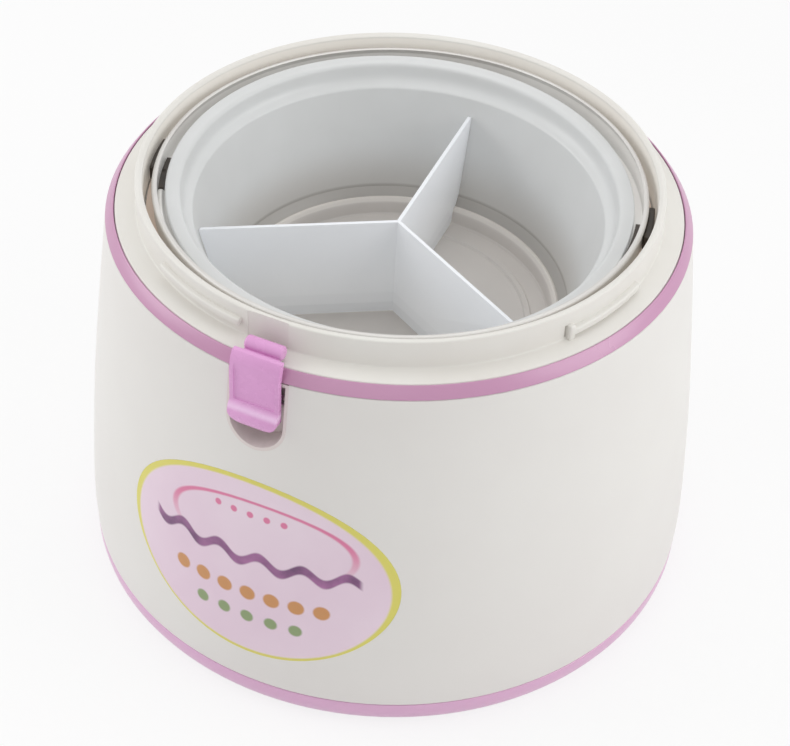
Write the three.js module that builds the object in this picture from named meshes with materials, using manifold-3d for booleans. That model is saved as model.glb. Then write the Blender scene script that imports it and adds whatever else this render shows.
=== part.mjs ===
// Thermal cooker: an insulated round housing with a neck for a turn-on lid, a press latch,
// and a lift-out pot that carries a divided food tray.
// Millimetres, +Z up, origin at the centre of the footprint. The latch faces -Y.
import * as THREE from 'three';
import { mergeVertices } from 'three/addons/utils/BufferGeometryUtils.js';
import Module from 'manifold-3d';

const wasm = await Module();
wasm.setup();

// Clearances and counts
const fitGap = 0.3;
const runningGap = 0.5;
const overrun = 4;
const roundSegments = 48;
const smallSegments = 14;

// Pot: its radius drives every other radius, through the named steps and clearances
const potRadius = 98.6;
const potWall = 1;
const potRestThickness = 3;
const potRestWidth = 18;
const potRestInset = 22.6;
const potFootSize = 9;
const potSeatWidth = 7.8;
const potUpstandHeight = 9;
const potBeadStandOut = 1.6;
const potRimDrop = 3.7;
// the pot's lower corner and its rim bead, as shares of their size
const potFootInShare = 0.25;
const potFootUpShare = 0.33;
const potBeadRoundShare = 0.25;

// Housing, outside: its height drives every level near the neck
const housingHeight = 200;
const neckHeight = 13.2;
const neckWall = 3.3;
const neckLipRound = 0.8;
const potToNeckGap = 3.7;
const shoulderWidth = 13.6;
const shoulderDrop = 0.5;
const shoulderThickness = 4;
const bandHeight = 5.1;
const bandSlope = 3.5;
const bandTopWidth = 0.5;
const bodySwell = 13.2;
const shellWall = 2.6;
const baseSeamZ = 14;
// height share from the base seam to the band, and how much of the body's swell is left there
const shellOutlineShares = [
  [0, 0.962], [0.075, 1], [0.277, 0.886], [0.473, 0.712], [0.737, 0.379], [1, 0],
];

// Collar
const collarWall = 3;
const collarSkirtDrop = 10.6;
const linerLedgeDrop = 5.4;
const linerLedgeThickness = 2.4;
const linerLedgeRoom = 2;
const lugStandOut = 2.4;
const lugHeight = 3.4;
const lugStopRise = 2;
const lugStopArc = 1.6;
const lugs = [
  { from: 238, to: 262.5, drop: 5.2, stop: false },
  { from: 331.5, to: 354, drop: 8.2, stop: true },
];
const keyPanelWidth = 18.6;
const keyPanelDepth = 0.8;
const keyPanelOffset = -2.9;

// Base
const baseRingFootZ = 0.8;
// radius share of the seam and height share from the ring's foot to the seam
const baseCornerShares = [
  [0.94, 0], [0.965, 0.05], [0.988, 0.26], [1, 0.62],
];
const baseRingWidth = 12.8;
const baseLedgeWidth = 10.5;
const baseLedgeZ = 5.9;
const baseLedgeThickness = 3.6;
const spigotHeight = 6.5;
const spigotWall = 2.5;
const coverThickness = 2.4;
const footRadius = 9;
const footInset = 14;
const footCount = 4;
const screwCount = 4;
const screwRadius = 1.5;
const screwHeadRadius = 3.1;
const screwHeadHeight = 1.1;
const screwTurn = 45;

// Insulation and liner
const linerRoom = 2.4;
const linerWall = 1;
const linerCornerSize = 6;
const foamBaseThickness = 3.8;
const gasketThickness = 1;
const gasketWidth = 8;
const foamGap = 0.4;

// Bail
const bailWireRadius = 1.5;
const bailWireSteps = 36;
const bailWireSides = 8;
const bailAxisAngle = 15;
const bailEndLength = 22;
const bailEndTail = 2.1;
const bailEndHalfHeight = 2;
const bailEndThickness = 2.4;
const bailPinRadius = 1.1;
const bailPinHeadRadius = 1.8;
const bailPinHeadThickness = 0.8;
const bailEarHalfLength = 11.4;
const bailEarThickness = 3.1;
const bailEarDrop = 2.4;
const bailEarRise = 4.4;
const bailPinSink = 0.4;

// Tray and divider, measured down from the tray's lip
const trayLipOverhang = 3.7;
const trayLipDrop = 8.7;
const trayLipThickness = 1.7;
const trayLipRound = 0.4;
const trayWall = 1.6;
const trayRoom = 0.6;
// rim channel, outside and inside: walls in from its skirt, height share from the mouth to the lip
const trayRimOuterShares = [[1, 0.14], [0, 0.42]];
const trayRimInnerShares = [[1.4, 0.5], [2.2, 0.22]];
const trayMouthRoundShare = 0.13;
// where the step's shelf turns down to the floor, outside and inside, as shares of its width
const trayShelfOuterShare = 0.33;
const trayShelfInnerShare = 0.11;
const trayMouthInset = 11.9;
const trayMouthDepth = 10.7;
const trayTaper = 10.9;
const trayStepDepth = 60.3;
const trayShelfWidth = 7.5;
const trayFloorDepth = 71.3;
const trayTilt = 2.24;
const trayTiltTowards = 138;
const dividerDepth = 18.3;
const dividerWall = 1.6;
const dividerCornerCut = 3.2;
const dividerAngles = [93.5, 213, 332.5];

// Latch, measured from the trim band's edge and the neck's foot
const latchWidth = 22.2;
const latchStandOff = 0.8;
const latchPlateThickness = 2.6;
const latchRise = 4.5;
const latchLean = 2.4;
const latchLeanHeight = 8.8;
const latchPlateHeight = 24.2;
const latchLipHeight = 10.1;
const latchLipFlare = 2.5;
const latchLipRound = 6;
const latchRollRadius = 3.1;
const latchRollWidth = 17;
const latchRollSetback = 10;
const latchRollDrop = 0.3;
const latchPivotSetback = 7;
const latchPivotDrop = 23.3;
const latchEarRadius = 3.1;
const latchEarInset = 3;
const latchEarThickness = 3;
const latchPinRadius = 1.1;
const latchEarRoom = 0.4;
const latchEdgeRound = 1;
const latchLipRoundShare = 0.25;
const latchArmDrop = 3.1;
const latchArmThickness = 2;
const pocketSideRoom = 1.1;
const pocketTopDrop = 11.9;
const pocketFingerRoom = 10.5;
const pocketWall = 1.5;
const springDrop = 6.4;
const springRadius = 2.2;
const springWire = 0.35;
const springTurns = 4;
const springStepsPerTurn = 8;
const springSides = 5;

// Label
const labelHalfWidth = 67;
const labelHalfHeight = 48.5;
const labelHeightShare = 0.4;
const labelThickness = 0.6;
const labelRecess = 0.9;
const labelProud = 0.1;
const labelSegments = 36;

// Looks: colour, roughness, metalness
const finishes = {
  whiteShell: [0xe6e4df, 0.38, 0],
  creamCollar: [0xdcd8cc, 0.42, 0],
  pink: [0xd79ccb, 0.35, 0],
  steel: [0xb9b9b6, 0.3, 1],
  foam: [0xe4dcb8, 0.95, 0],
  rubber: [0x4a4a4a, 0.9, 0],
  clearTray: [0xd9dde0, 0.3, 0],
  darkEar: [0x2b2926, 0.6, 0.1],
  label: [0xeccfe6, 0.5, 0],
};

const radians = (degrees) => THREE.MathUtils.degToRad(degrees);
const lerp = THREE.MathUtils.lerp;

// Solids: geometry in, manifold solid out, and back

function signedVolume(geometry) {
  const position = geometry.attributes.position;
  const index = geometry.index;
  const [a, b, c] = [new THREE.Vector3(), new THREE.Vector3(), new THREE.Vector3()];
  let total = 0;
  for (let i = 0; i < index.count; i += 3) {
    a.fromBufferAttribute(position, index.getX(i));
    b.fromBufferAttribute(position, index.getX(i + 1));
    c.fromBufferAttribute(position, index.getX(i + 2));
    total += a.dot(b.cross(c));
  }
  return total;
}

function solid(geometry) {
  const bare = geometry.clone();
  bare.deleteAttribute('normal');
  bare.deleteAttribute('uv');
  const merged = mergeVertices(bare);
  const index = merged.index.array;
  const kept = [];
  const inward = signedVolume(merged) < 0;
  for (let i = 0; i < index.length; i += 3) {
    const [a, b, c] = [index[i], index[i + 1], index[i + 2]];
    if (a === b || b === c || c === a) continue;
    kept.push(a, inward ? c : b, inward ? b : c);
  }
  return new wasm.Manifold(new wasm.Mesh({
    numProp: 3,
    vertProperties: new Float32Array(merged.attributes.position.array),
    triVerts: new Uint32Array(kept),
  }));
}

function toGeometry(manifold) {
  const mesh = manifold.getMesh();
  const geometry = new THREE.BufferGeometry();
  geometry.setAttribute('position', new THREE.BufferAttribute(mesh.vertProperties, mesh.numProp));
  geometry.setIndex(new THREE.BufferAttribute(mesh.triVerts, 1));
  geometry.computeVertexNormals();
  return geometry;
}

// A ring or disc turned about Z from a closed outline of [radius, height] points
function turned(outline, segments = roundSegments) {
  const points = [...outline, outline[0]].map(([radius, z]) => new THREE.Vector2(radius, z));
  return solid(new THREE.LatheGeometry(points, segments).rotateX(Math.PI / 2));
}

// A cylinder of the given radius between two points
function rod(from, to, radius, segments = smallSegments) {
  const axis = to.clone().sub(from);
  const geometry = new THREE.CylinderGeometry(radius, radius, axis.length(), segments);
  geometry.applyQuaternion(new THREE.Quaternion().setFromUnitVectors(
    new THREE.Vector3(0, 1, 0), axis.clone().normalize()));
  const middle = from.clone().add(to).multiplyScalar(0.5);
  return solid(geometry.translate(middle.x, middle.y, middle.z));
}

// A box between two corners
function block(low, high) {
  const geometry = new THREE.BoxGeometry(high[0] - low[0], high[1] - low[1], high[2] - low[2]);
  return solid(geometry.translate(
    (low[0] + high[0]) / 2, (low[1] + high[1]) / 2, (low[2] + high[2]) / 2));
}

function turnAboutZ(manifold, degrees) {
  return manifold.rotate([0, 0, degrees]);
}

// A side outline of [distance in front, height] points, extruded across the latch's width
function acrossLatch(shape, width) {
  const geometry = new THREE.ExtrudeGeometry(shape, {
    depth: width, bevelEnabled: false, curveSegments: smallSegments,
  });
  const toWorld = new THREE.Matrix4().makeBasis(
    new THREE.Vector3(0, -1, 0), new THREE.Vector3(0, 0, 1), new THREE.Vector3(-1, 0, 0));
  return solid(geometry.applyMatrix4(toWorld).translate(width / 2, 0, 0));
}

// A front outline of [x, z] points, extruded forwards between two distances from the axis
function throughFront(shape, near, far) {
  const geometry = new THREE.ExtrudeGeometry(shape, {
    depth: far - near, bevelEnabled: false, curveSegments: smallSegments,
  });
  return solid(geometry.rotateX(Math.PI / 2).translate(0, -near, 0));
}

function shapeOf(points) {
  return new THREE.Shape(points.map(([x, y]) => new THREE.Vector2(x, y)));
}

// Radii, from the pot outwards
const trayLipRadius = potRadius + trayLipOverhang;
const bailRadius = trayLipRadius + runningGap + bailWireRadius;
const potSeatRadius = potRadius + potSeatWidth;
const potBeadRadius = potSeatRadius + potBeadStandOut;
const neckInner = potBeadRadius + potToNeckGap;
const neckRadius = neckInner + neckWall;
const bandBottomRadius = neckRadius + shoulderWidth;
const bandTopRadius = bandBottomRadius - bandSlope;
const bodyRadius = bandBottomRadius + bodySwell;
const collarRadius = bandTopRadius - bandTopWidth - fitGap;
const linerInnerRadius = potRadius + linerRoom;
const linerOuter = linerInnerRadius + linerWall;
const linerLedgeRadius = linerOuter + linerLedgeRoom;
const linerFlangeRadius = neckInner - runningGap;

// Radii, from the pot inwards
const potRestOuter = potRadius - potRestInset;
const potRestInner = potRestOuter - potRestWidth;
const trayMouthRadius = trayLipRadius - trayMouthInset;
const trayStepRadius = trayMouthRadius - trayTaper;
const trayFloorRadius = trayStepRadius - trayShelfWidth;

// Levels, from the base upwards
const coverTopZ = baseLedgeZ - fitGap;
const coverZ = coverTopZ - coverThickness;
const baseLedgeTopZ = baseLedgeZ + baseLedgeThickness;
const spigotTopZ = baseSeamZ + spigotHeight;
const foamFloorZ = baseLedgeTopZ + fitGap;
const linerFloorZ = foamFloorZ + foamBaseThickness + fitGap;
const potFloorZ = linerFloorZ + linerWall + fitGap + potRestThickness + fitGap;

// Levels, from the neck downwards
const neckFootZ = housingHeight - neckHeight;
const shoulderEdgeZ = neckFootZ - shoulderDrop;
const shoulderUnderZ = shoulderEdgeZ - shoulderThickness;
const skirtFootZ = shoulderUnderZ - collarSkirtDrop;
const bandBottomZ = shoulderEdgeZ - bandHeight;
const linerLedgeZ = neckFootZ - linerLedgeDrop;
const linerFlangeZ = linerLedgeZ + fitGap;
const linerTopZ = linerFlangeZ + linerWall;
const gasketZ = linerTopZ + fitGap;
const potSeatZ = gasketZ + gasketThickness + fitGap;
const potRimZ = housingHeight - potRimDrop;
const bailAxisZ = potSeatZ + potWall + fitGap + bailEndTail;
const trayLipZ = housingHeight - trayLipDrop;

// Latch, from the band's edge and the neck's foot
const latchPlateOuter = bandBottomRadius + latchStandOff + latchPlateThickness;
const latchTopZ = neckFootZ + latchRise;
const latchLedgeZ = latchTopZ - latchPlateHeight;
const latchBottomZ = latchLedgeZ - latchLipHeight;
const latchRollCentre = [latchPlateOuter - latchRollSetback, latchTopZ - latchRollDrop];
const latchPivot = [latchPlateOuter - latchPivotSetback, latchTopZ - latchPivotDrop];
const pocketHalfWidth = latchWidth / 2 + pocketSideRoom;
const pocketTopZ = latchTopZ - pocketTopDrop;
const pocketBottomZ = latchBottomZ - pocketFingerRoom;
const pocketFloor = latchPivot[0] - latchEarRadius - latchEarRoom;
const springZ = latchPivot[1] - springDrop;

// Body outline
const shellHeight = bandBottomZ - baseSeamZ;
const shellOutline = shellOutlineShares.map(([heightShare, swellShare]) => [
  lerp(bandBottomRadius, bodyRadius, swellShare),
  baseSeamZ + shellHeight * heightShare,
]);
const inset = (outline, amount) => outline.map(([radius, z]) => [radius - amount, z]);

// Base, from the seam inwards
const baseSeamRadius = shellOutline[0][0];
const spigotRadius = baseSeamRadius - shellWall - runningGap;
const baseInnerRadius = baseSeamRadius - baseRingWidth;
const baseLedgeRadius = baseInnerRadius - baseLedgeWidth;
const screwCircleRadius = baseInnerRadius - baseLedgeWidth / 2;
const footCircleRadius = baseLedgeRadius - footInset;

// the label's width follows the body's curve, so its straight width is the chord of that arc
const labelZ = lerp(baseSeamZ, bandBottomZ, labelHeightShare);
const labelChordShare = Math.sin(labelHalfWidth / bodyRadius) / (labelHalfWidth / bodyRadius);

// Casing pieces

function pocketOutline(margin) {
  const half = pocketHalfWidth + margin;
  const shape = new THREE.Shape();
  shape.moveTo(half, pocketTopZ + margin);
  shape.lineTo(-half, pocketTopZ + margin);
  shape.lineTo(-half, pocketBottomZ + pocketHalfWidth);
  shape.absarc(0, pocketBottomZ + pocketHalfWidth, half, Math.PI, 2 * Math.PI, false);
  return shape;
}

function labelOutline(margin) {
  const shape = new THREE.Shape();
  const points = [];
  for (let i = 0; i < labelSegments; i += 1) {
    const turn = (2 * Math.PI * i) / labelSegments;
    points.push(new THREE.Vector2(
      (labelHalfWidth + margin) * Math.cos(turn) * labelChordShare,
      labelZ + (labelHalfHeight + margin) * Math.sin(turn)));
  }
  shape.setFromPoints(points);
  return shape;
}

function outerShell() {
  const ring = turned([...shellOutline, ...inset(shellOutline, shellWall).reverse()]);
  const opening = throughFront(pocketOutline(pocketWall + fitGap), pocketFloor, bodyRadius + overrun);
  const openTop = block(
    [-pocketHalfWidth - pocketWall - fitGap, -bodyRadius - overrun, pocketTopZ],
    [pocketHalfWidth + pocketWall + fitGap, -pocketFloor, bandBottomZ + overrun]);
  const labelSeat = throughFront(labelOutline(fitGap), neckRadius, bodyRadius + overrun)
    .intersect(turned([
      ...inset(shellOutline, -overrun), ...inset(shellOutline, labelRecess).reverse()]));
  return ring.subtract(opening).subtract(openTop).subtract(labelSeat);
}

function labelPlate() {
  const skin = turned([
    ...inset(shellOutline, -labelProud),
    ...inset(shellOutline, labelThickness - labelProud).reverse()]);
  return throughFront(labelOutline(0), neckRadius, bodyRadius + overrun).intersect(skin);
}

function trimBand() {
  const foot = bandBottomZ + fitGap;
  const top = bandBottomZ + bandHeight;
  const inner = collarRadius + fitGap;
  return turned([[inner, foot], [bandBottomRadius, foot], [bandTopRadius, top], [inner, top]]);
}

function neckCollar() {
  const top = housingHeight;
  const skirtInner = collarRadius - collarWall;
  const ledgeUnder = linerLedgeZ - linerLedgeThickness;
  let collar = turned([
    [skirtInner, skirtFootZ], [collarRadius, skirtFootZ], [collarRadius, shoulderEdgeZ],
    [neckRadius, neckFootZ], [neckRadius, top - neckLipRound], [neckRadius - neckLipRound, top],
    [neckInner + neckLipRound, top], [neckInner, top - neckLipRound], [neckInner, linerLedgeZ],
    [linerLedgeRadius, linerLedgeZ], [linerLedgeRadius, ledgeUnder], [neckRadius, ledgeUnder],
    [neckRadius, shoulderUnderZ], [skirtInner, shoulderUnderZ],
  ]);
  for (const lug of lugs) collar = collar.add(lidLug(lug));
  const panel = block(
    [keyPanelOffset - keyPanelWidth / 2, -neckRadius - overrun, neckFootZ],
    [keyPanelOffset + keyPanelWidth / 2, -neckRadius + keyPanelDepth, top + overrun]);
  const half = pocketHalfWidth + pocketWall + runningGap;
  const skirtNotch = block(
    [-half, -bodyRadius, skirtFootZ - overrun],
    [half, -pocketFloor + pocketWall + runningGap, shoulderUnderZ]);
  return collar.subtract(panel).subtract(skirtNotch);
}

// A lug on the neck that the lid's thread runs under; one has a stop block at its start
function lidLug({ from, to, drop, stop }) {
  const top = housingHeight - drop;
  const arc = (start, end, low, high) => {
    const steps = Math.max(2, Math.round((end - start) / (360 / roundSegments)));
    const shape = new THREE.Shape();
    const outer = neckRadius + lugStandOut;
    const inner = neckRadius - neckWall / 2;
    const points = [];
    for (let i = 0; i <= steps; i += 1) {
      const turn = radians(lerp(start, end, i / steps));
      points.push(new THREE.Vector2(outer * Math.cos(turn), outer * Math.sin(turn)));
    }
    for (let i = steps; i >= 0; i -= 1) {
      const turn = radians(lerp(start, end, i / steps));
      points.push(new THREE.Vector2(inner * Math.cos(turn), inner * Math.sin(turn)));
    }
    shape.setFromPoints(points);
    return solid(new THREE.ExtrudeGeometry(shape, { depth: high - low, bevelEnabled: false })
      .translate(0, 0, low));
  };
  const rib = arc(from, to, top - lugHeight, top);
  return stop ? rib.add(arc(from, from + lugStopArc, neckFootZ, top + lugStopRise)) : rib;
}

function screwPlaces() {
  return Array.from({ length: screwCount }, (_, i) => radians(screwTurn + (360 / screwCount) * i));
}

function screwHoles(radius) {
  const hole = (turn) => {
    const [x, y] = [screwCircleRadius * Math.cos(turn), screwCircleRadius * Math.sin(turn)];
    return rod(new THREE.Vector3(x, y, coverZ - overrun / 2),
      new THREE.Vector3(x, y, baseLedgeTopZ + overrun / 2), radius);
  };
  return screwPlaces().map(hole);
}

function baseRing() {
  const corner = baseCornerShares.map(([radiusShare, heightShare]) => [
    baseSeamRadius * radiusShare, lerp(baseRingFootZ, baseSeamZ - fitGap, heightShare)]);
  const seam = baseSeamZ - fitGap;
  const spigotInner = spigotRadius - spigotWall;
  let ring = turned([
    [baseInnerRadius, baseRingFootZ], ...corner, [baseSeamRadius, seam], [spigotRadius, seam],
    [spigotRadius, spigotTopZ], [spigotInner, spigotTopZ], [spigotInner, baseLedgeTopZ],
    [baseLedgeRadius, baseLedgeTopZ], [baseLedgeRadius, baseLedgeZ], [baseInnerRadius, baseLedgeZ],
  ]);
  for (const hole of screwHoles(screwRadius + fitGap)) ring = ring.subtract(hole);
  return ring;
}

function bottomCover() {
  const edge = baseInnerRadius - fitGap;
  let cover = turned([[0, coverZ], [edge, coverZ], [edge, coverTopZ], [0, coverTopZ]]);
  for (const hole of screwHoles(screwRadius + fitGap)) cover = cover.subtract(hole);
  return cover;
}

function baseScrew(turn) {
  const at = (z) => new THREE.Vector3(
    screwCircleRadius * Math.cos(turn), screwCircleRadius * Math.sin(turn), z);
  const headTop = coverZ - fitGap;
  const head = rod(at(headTop - screwHeadHeight), at(headTop), screwHeadRadius);
  return head.add(rod(at(headTop - screwHeadHeight / 2), at(baseLedgeTopZ - fitGap), screwRadius));
}

function foot(turn) {
  const at = (z) => new THREE.Vector3(
    footCircleRadius * Math.cos(turn), footCircleRadius * Math.sin(turn), z);
  return rod(at(0), at(coverZ - fitGap), footRadius, smallSegments * 2);
}

function foamBase() {
  const edge = spigotRadius - spigotWall - foamGap;
  const top = linerFloorZ - fitGap;
  return turned([[0, foamFloorZ], [edge, foamFloorZ], [edge, top], [0, top]]);
}

// The foam fills the space between the liner and the shell, with room for the latch pocket
function foamJacket() {
  const low = linerFloorZ;
  const top = skirtFootZ - foamGap;
  const lowRadius = spigotRadius - spigotWall - foamGap;
  const outside = inset(shellOutline, shellWall + foamGap)
    .filter(([, z]) => z > spigotTopZ + fitGap && z < top);
  const topRadius = shellRadiusAt(top) - shellWall - foamGap;
  const stepZ = spigotTopZ + foamGap;
  const jacket = turned([
    [linerOuter + foamGap, low], [lowRadius, low], [lowRadius, stepZ],
    [shellRadiusAt(stepZ) - shellWall - foamGap, stepZ], ...outside, [topRadius, top],
    [linerOuter + foamGap, top],
  ]);
  const room = pocketWall + foamGap;
  return jacket.subtract(
    throughFront(pocketOutline(room), pocketFloor - room, bodyRadius + overrun));
}

function shellRadiusAt(z) {
  const above = shellOutline.findIndex(([, height]) => height >= z);
  const [[r0, z0], [r1, z1]] = [shellOutline[above - 1], shellOutline[above]];
  return lerp(r0, r1, (z - z0) / (z1 - z0));
}

function liner() {
  const inside = linerInnerRadius;
  const floorTop = linerFloorZ + linerWall;
  const corner = linerCornerSize;
  return turned([
    [0, linerFloorZ], [linerOuter - corner, linerFloorZ], [linerOuter, linerFloorZ + corner],
    [linerOuter, linerFlangeZ], [linerFlangeRadius, linerFlangeZ], [linerFlangeRadius, linerTopZ],
    [inside, linerTopZ], [inside, linerFloorZ + corner + linerWall / 2],
    [linerOuter - corner - linerWall / 2, floorTop], [0, floorTop],
  ]);
}

function linerGasket() {
  const outer = linerFlangeRadius - runningGap;
  const inner = outer - gasketWidth;
  const top = gasketZ + gasketThickness;
  return turned([[inner, gasketZ], [outer, gasketZ], [outer, top], [inner, top]]);
}

function potRest() {
  const low = linerFloorZ + linerWall + fitGap;
  const top = low + potRestThickness;
  return turned([[potRestInner, low], [potRestOuter, low], [potRestOuter, top], [potRestInner, top]]);
}

// Latch

function latchPocket() {
  const back = pocketFloor - pocketWall;
  const body = turned([[0, baseSeamZ], ...shellOutline, [0, bandBottomZ]]);
  const room = throughFront(pocketOutline(0), pocketFloor, bodyRadius + overrun);
  const tub = throughFront(pocketOutline(pocketWall), back, bodyRadius).intersect(body);
  const reach = pocketHalfWidth + pocketWall + overrun;
  const pinHole = latchRod(-reach, reach, latchPinRadius + fitGap);
  return tub.subtract(room).subtract(pinHole);
}

// A rod along the latch's hinge line
function latchRod(fromX, toX, radius) {
  const [front, z] = latchPivot;
  return rod(new THREE.Vector3(fromX, -front, z), new THREE.Vector3(toX, -front, z), radius);
}

// The lever's outline from the front, with its finger lip rounded below
function leverOutline() {
  const half = latchWidth / 2;
  const roundZ = latchBottomZ + latchLipRound;
  const shape = new THREE.Shape();
  shape.moveTo(half, housingHeight);
  shape.lineTo(-half, housingHeight);
  shape.lineTo(-half, roundZ);
  shape.absellipse(0, roundZ, half, latchLipRound, Math.PI, 2 * Math.PI, false);
  return shape;
}

function latchLever() {
  const outer = latchPlateOuter;
  const inner = outer - latchPlateThickness;
  const ledge = latchEdgeRound;
  const lip = latchLipFlare;
  const lipRoundZ = latchBottomZ + latchLipHeight * latchLipRoundShare;
  const leanZ = latchTopZ - latchLeanHeight;
  const plate = shapeOf([
    [inner, lipRoundZ], [inner + ledge, latchBottomZ],
    [outer + lip / 2, latchBottomZ], [outer + lip, lipRoundZ],
    [outer + lip, latchBottomZ + latchLipHeight / 2], [outer + ledge, latchLedgeZ],
    [outer, latchLedgeZ + ledge], [outer, leanZ], [outer - latchLean, latchTopZ - ledge],
    [outer - latchLean - ledge, latchTopZ], [inner - latchLean, latchTopZ], [inner, leanZ],
  ]);
  const [rollFront, rollZ] = latchRollCentre;
  const roll = new THREE.Shape();
  roll.absarc(rollFront, rollZ, latchRollRadius, 0, 2 * Math.PI, false);
  const armEnd = outer - latchLean - ledge;
  const armZ = latchTopZ - latchArmDrop;
  const arm = shapeOf([
    [rollFront, armZ], [armEnd, armZ], [armEnd, armZ + latchArmThickness],
    [rollFront, armZ + latchArmThickness],
  ]);
  const [pivotFront, pivotZ] = latchPivot;
  const ear = new THREE.Shape();
  ear.moveTo(inner + ledge, pivotZ + latchEarRadius);
  ear.lineTo(pivotFront, pivotZ + latchEarRadius);
  ear.absarc(pivotFront, pivotZ, latchEarRadius, Math.PI / 2, 1.5 * Math.PI, false);
  ear.lineTo(inner + ledge, pivotZ - latchEarRadius);
  const earPair = [-1, 1].map((side) => {
    const centre = side * (latchWidth / 2 - latchEarInset - latchEarThickness / 2);
    return acrossLatch(ear, latchEarThickness).translate([centre, 0, 0]);
  });
  const lever = acrossLatch(plate, latchWidth)
    .intersect(throughFront(leverOutline(), pocketFloor, bodyRadius))
    .add(acrossLatch(roll, latchRollWidth)).add(acrossLatch(arm, latchRollWidth))
    .add(earPair[0]).add(earPair[1]);
  return lever.subtract(latchRod(-latchWidth, latchWidth, latchPinRadius + fitGap));
}

function latchPin() {
  const reach = pocketHalfWidth + pocketWall - fitGap;
  return latchRod(-reach, reach, latchPinRadius);
}

// The coil that pushes the latch's lower end outwards
function springPoints() {
  const from = pocketFloor + fitGap + springWire;
  const to = latchPlateOuter - latchPlateThickness - fitGap - springWire;
  const count = springTurns * springStepsPerTurn;
  return Array.from({ length: count + 1 }, (_, i) => {
    const turn = (2 * Math.PI * i) / springStepsPerTurn;
    return new THREE.Vector3(
      springRadius * Math.cos(turn), -lerp(from, to, i / count), springZ + springRadius * Math.sin(turn));
  });
}

function latchSpring() {
  const points = springPoints();
  const wire = shapeOf(Array.from({ length: springSides }, (_, i) => {
    const turn = (2 * Math.PI * i) / springSides;
    return [springWire * Math.cos(turn), springWire * Math.sin(turn)];
  }));
  const geometry = new THREE.ExtrudeGeometry(wire, {
    steps: points.length - 1, bevelEnabled: false, extrudePath: new THREE.CatmullRomCurve3(points),
  });
  return solid(geometry);
}

function springGap() {
  const points = springPoints();
  const turnSteps = (points.length - 1) / springTurns;
  let least = Infinity;
  for (let i = 0; i + turnSteps < points.length; i += 1) {
    least = Math.min(least, points[i].distanceTo(points[i + turnSteps]) - 2 * springWire);
  }
  return least;
}

// Pot and bail

function pot() {
  const r = potRadius;
  const inner = r - potWall;
  const seatTop = potSeatZ + potWall;
  const upstandOuter = potSeatRadius + potWall;
  const upstandTop = potSeatZ + potUpstandHeight;
  const beadRound = (potRimZ - upstandTop) * potBeadRoundShare;
  const foot = potFootSize;
  const footIn = foot * potFootInShare;
  const footUp = potFloorZ + foot * potFootUpShare;
  return turned([
    [0, potFloorZ], [r - foot, potFloorZ], [r - footIn, footUp],
    [r, potFloorZ + foot], [r, potSeatZ], [potSeatRadius, potSeatZ],
    [upstandOuter, seatTop], [upstandOuter, upstandTop],
    [potBeadRadius, upstandTop + beadRound], [potBeadRadius, potRimZ - beadRound],
    [potBeadRadius - potWall, potRimZ], [potSeatRadius + potWall / 2, potRimZ - beadRound],
    [potSeatRadius, upstandTop], [potSeatRadius, seatTop + potWall],
    [potSeatRadius - potWall, seatTop], [inner, seatTop], [inner, potFloorZ + foot + potWall / 2],
    [inner - footIn, footUp + potWall], [inner - foot, potFloorZ + potWall],
    [0, potFloorZ + potWall],
  ]);
}

// Everything at the bail's ends is made on +X and turned to its place
function bailRod(from, to, radius) {
  return rod(new THREE.Vector3(from, 0, bailAxisZ), new THREE.Vector3(to, 0, bailAxisZ), radius);
}

const bailSides = { left: 180, right: 0 };
const bailPinFrom = bailRadius - bailEndThickness / 2;
const bailEarFrom = potSeatRadius + potWall + fitGap;
const bailEarTo = bailEarFrom + bailEarThickness;
const bailPinTo = bailEarTo - bailPinSink;

function potWithPinHoles() {
  let body = pot();
  for (const side of Object.values(bailSides)) {
    body = body.subtract(turnAboutZ(
      bailRod(bailRadius, bailPinTo + overrun / 2, bailPinRadius + fitGap), bailAxisAngle + side));
  }
  return body;
}

function bailPin(side) {
  const head = bailRod(bailPinTo - bailPinHeadThickness, bailPinTo, bailPinHeadRadius);
  return turnAboutZ(head.add(bailRod(bailPinFrom, bailPinTo, bailPinRadius)), bailAxisAngle + side);
}

// The ear is a curved plate outside the pot's rim, and the pin's head is sunk in it
function bailEar(side) {
  const curved = turned([
    [bailEarFrom, bailAxisZ - bailEarDrop], [bailEarTo, bailAxisZ - bailEarDrop],
    [bailEarTo, bailAxisZ + bailEarRise], [bailEarFrom, bailAxisZ + bailEarRise],
  ], roundSegments * 2);
  const span = block(
    [bailRadius / 2, -bailEarHalfLength, 0], [bailEarTo + overrun, bailEarHalfLength, housingHeight]);
  const hole = bailRod(bailRadius / 2, bailEarTo, bailPinRadius + fitGap);
  const headFrom = bailPinTo - bailPinHeadThickness - fitGap;
  const sinking = bailRod(headFrom, bailEarTo + overrun, bailPinHeadRadius + fitGap);
  return turnAboutZ(curved.intersect(span).subtract(hole).subtract(sinking), bailAxisAngle + side);
}

// The end piece reaches forwards along the rim from its pin, where the wire lies, and is round
// about the pin so that it clears the seat as it turns
function bailEnd(side) {
  const far = side === 0 ? -bailEndLength : bailEndLength;
  const curved = turned([
    [bailRadius - bailEndThickness / 2, bailAxisZ - bailEndHalfHeight],
    [bailRadius + bailEndThickness / 2, bailAxisZ - bailEndHalfHeight],
    [bailRadius + bailEndThickness / 2, bailAxisZ + bailEndHalfHeight],
    [bailRadius - bailEndThickness / 2, bailAxisZ + bailEndHalfHeight],
  ], roundSegments * 2);
  const span = block(
    [bailRadius / 2, Math.min(0, far), 0], [potBeadRadius, Math.max(0, far), housingHeight])
    .add(bailRod(bailRadius / 2, potBeadRadius, bailEndTail));
  const hole = bailRod(bailRadius / 2, potBeadRadius, bailPinRadius + fitGap);
  return turnAboutZ(curved.intersect(span).subtract(hole), bailAxisAngle + side);
}

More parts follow.
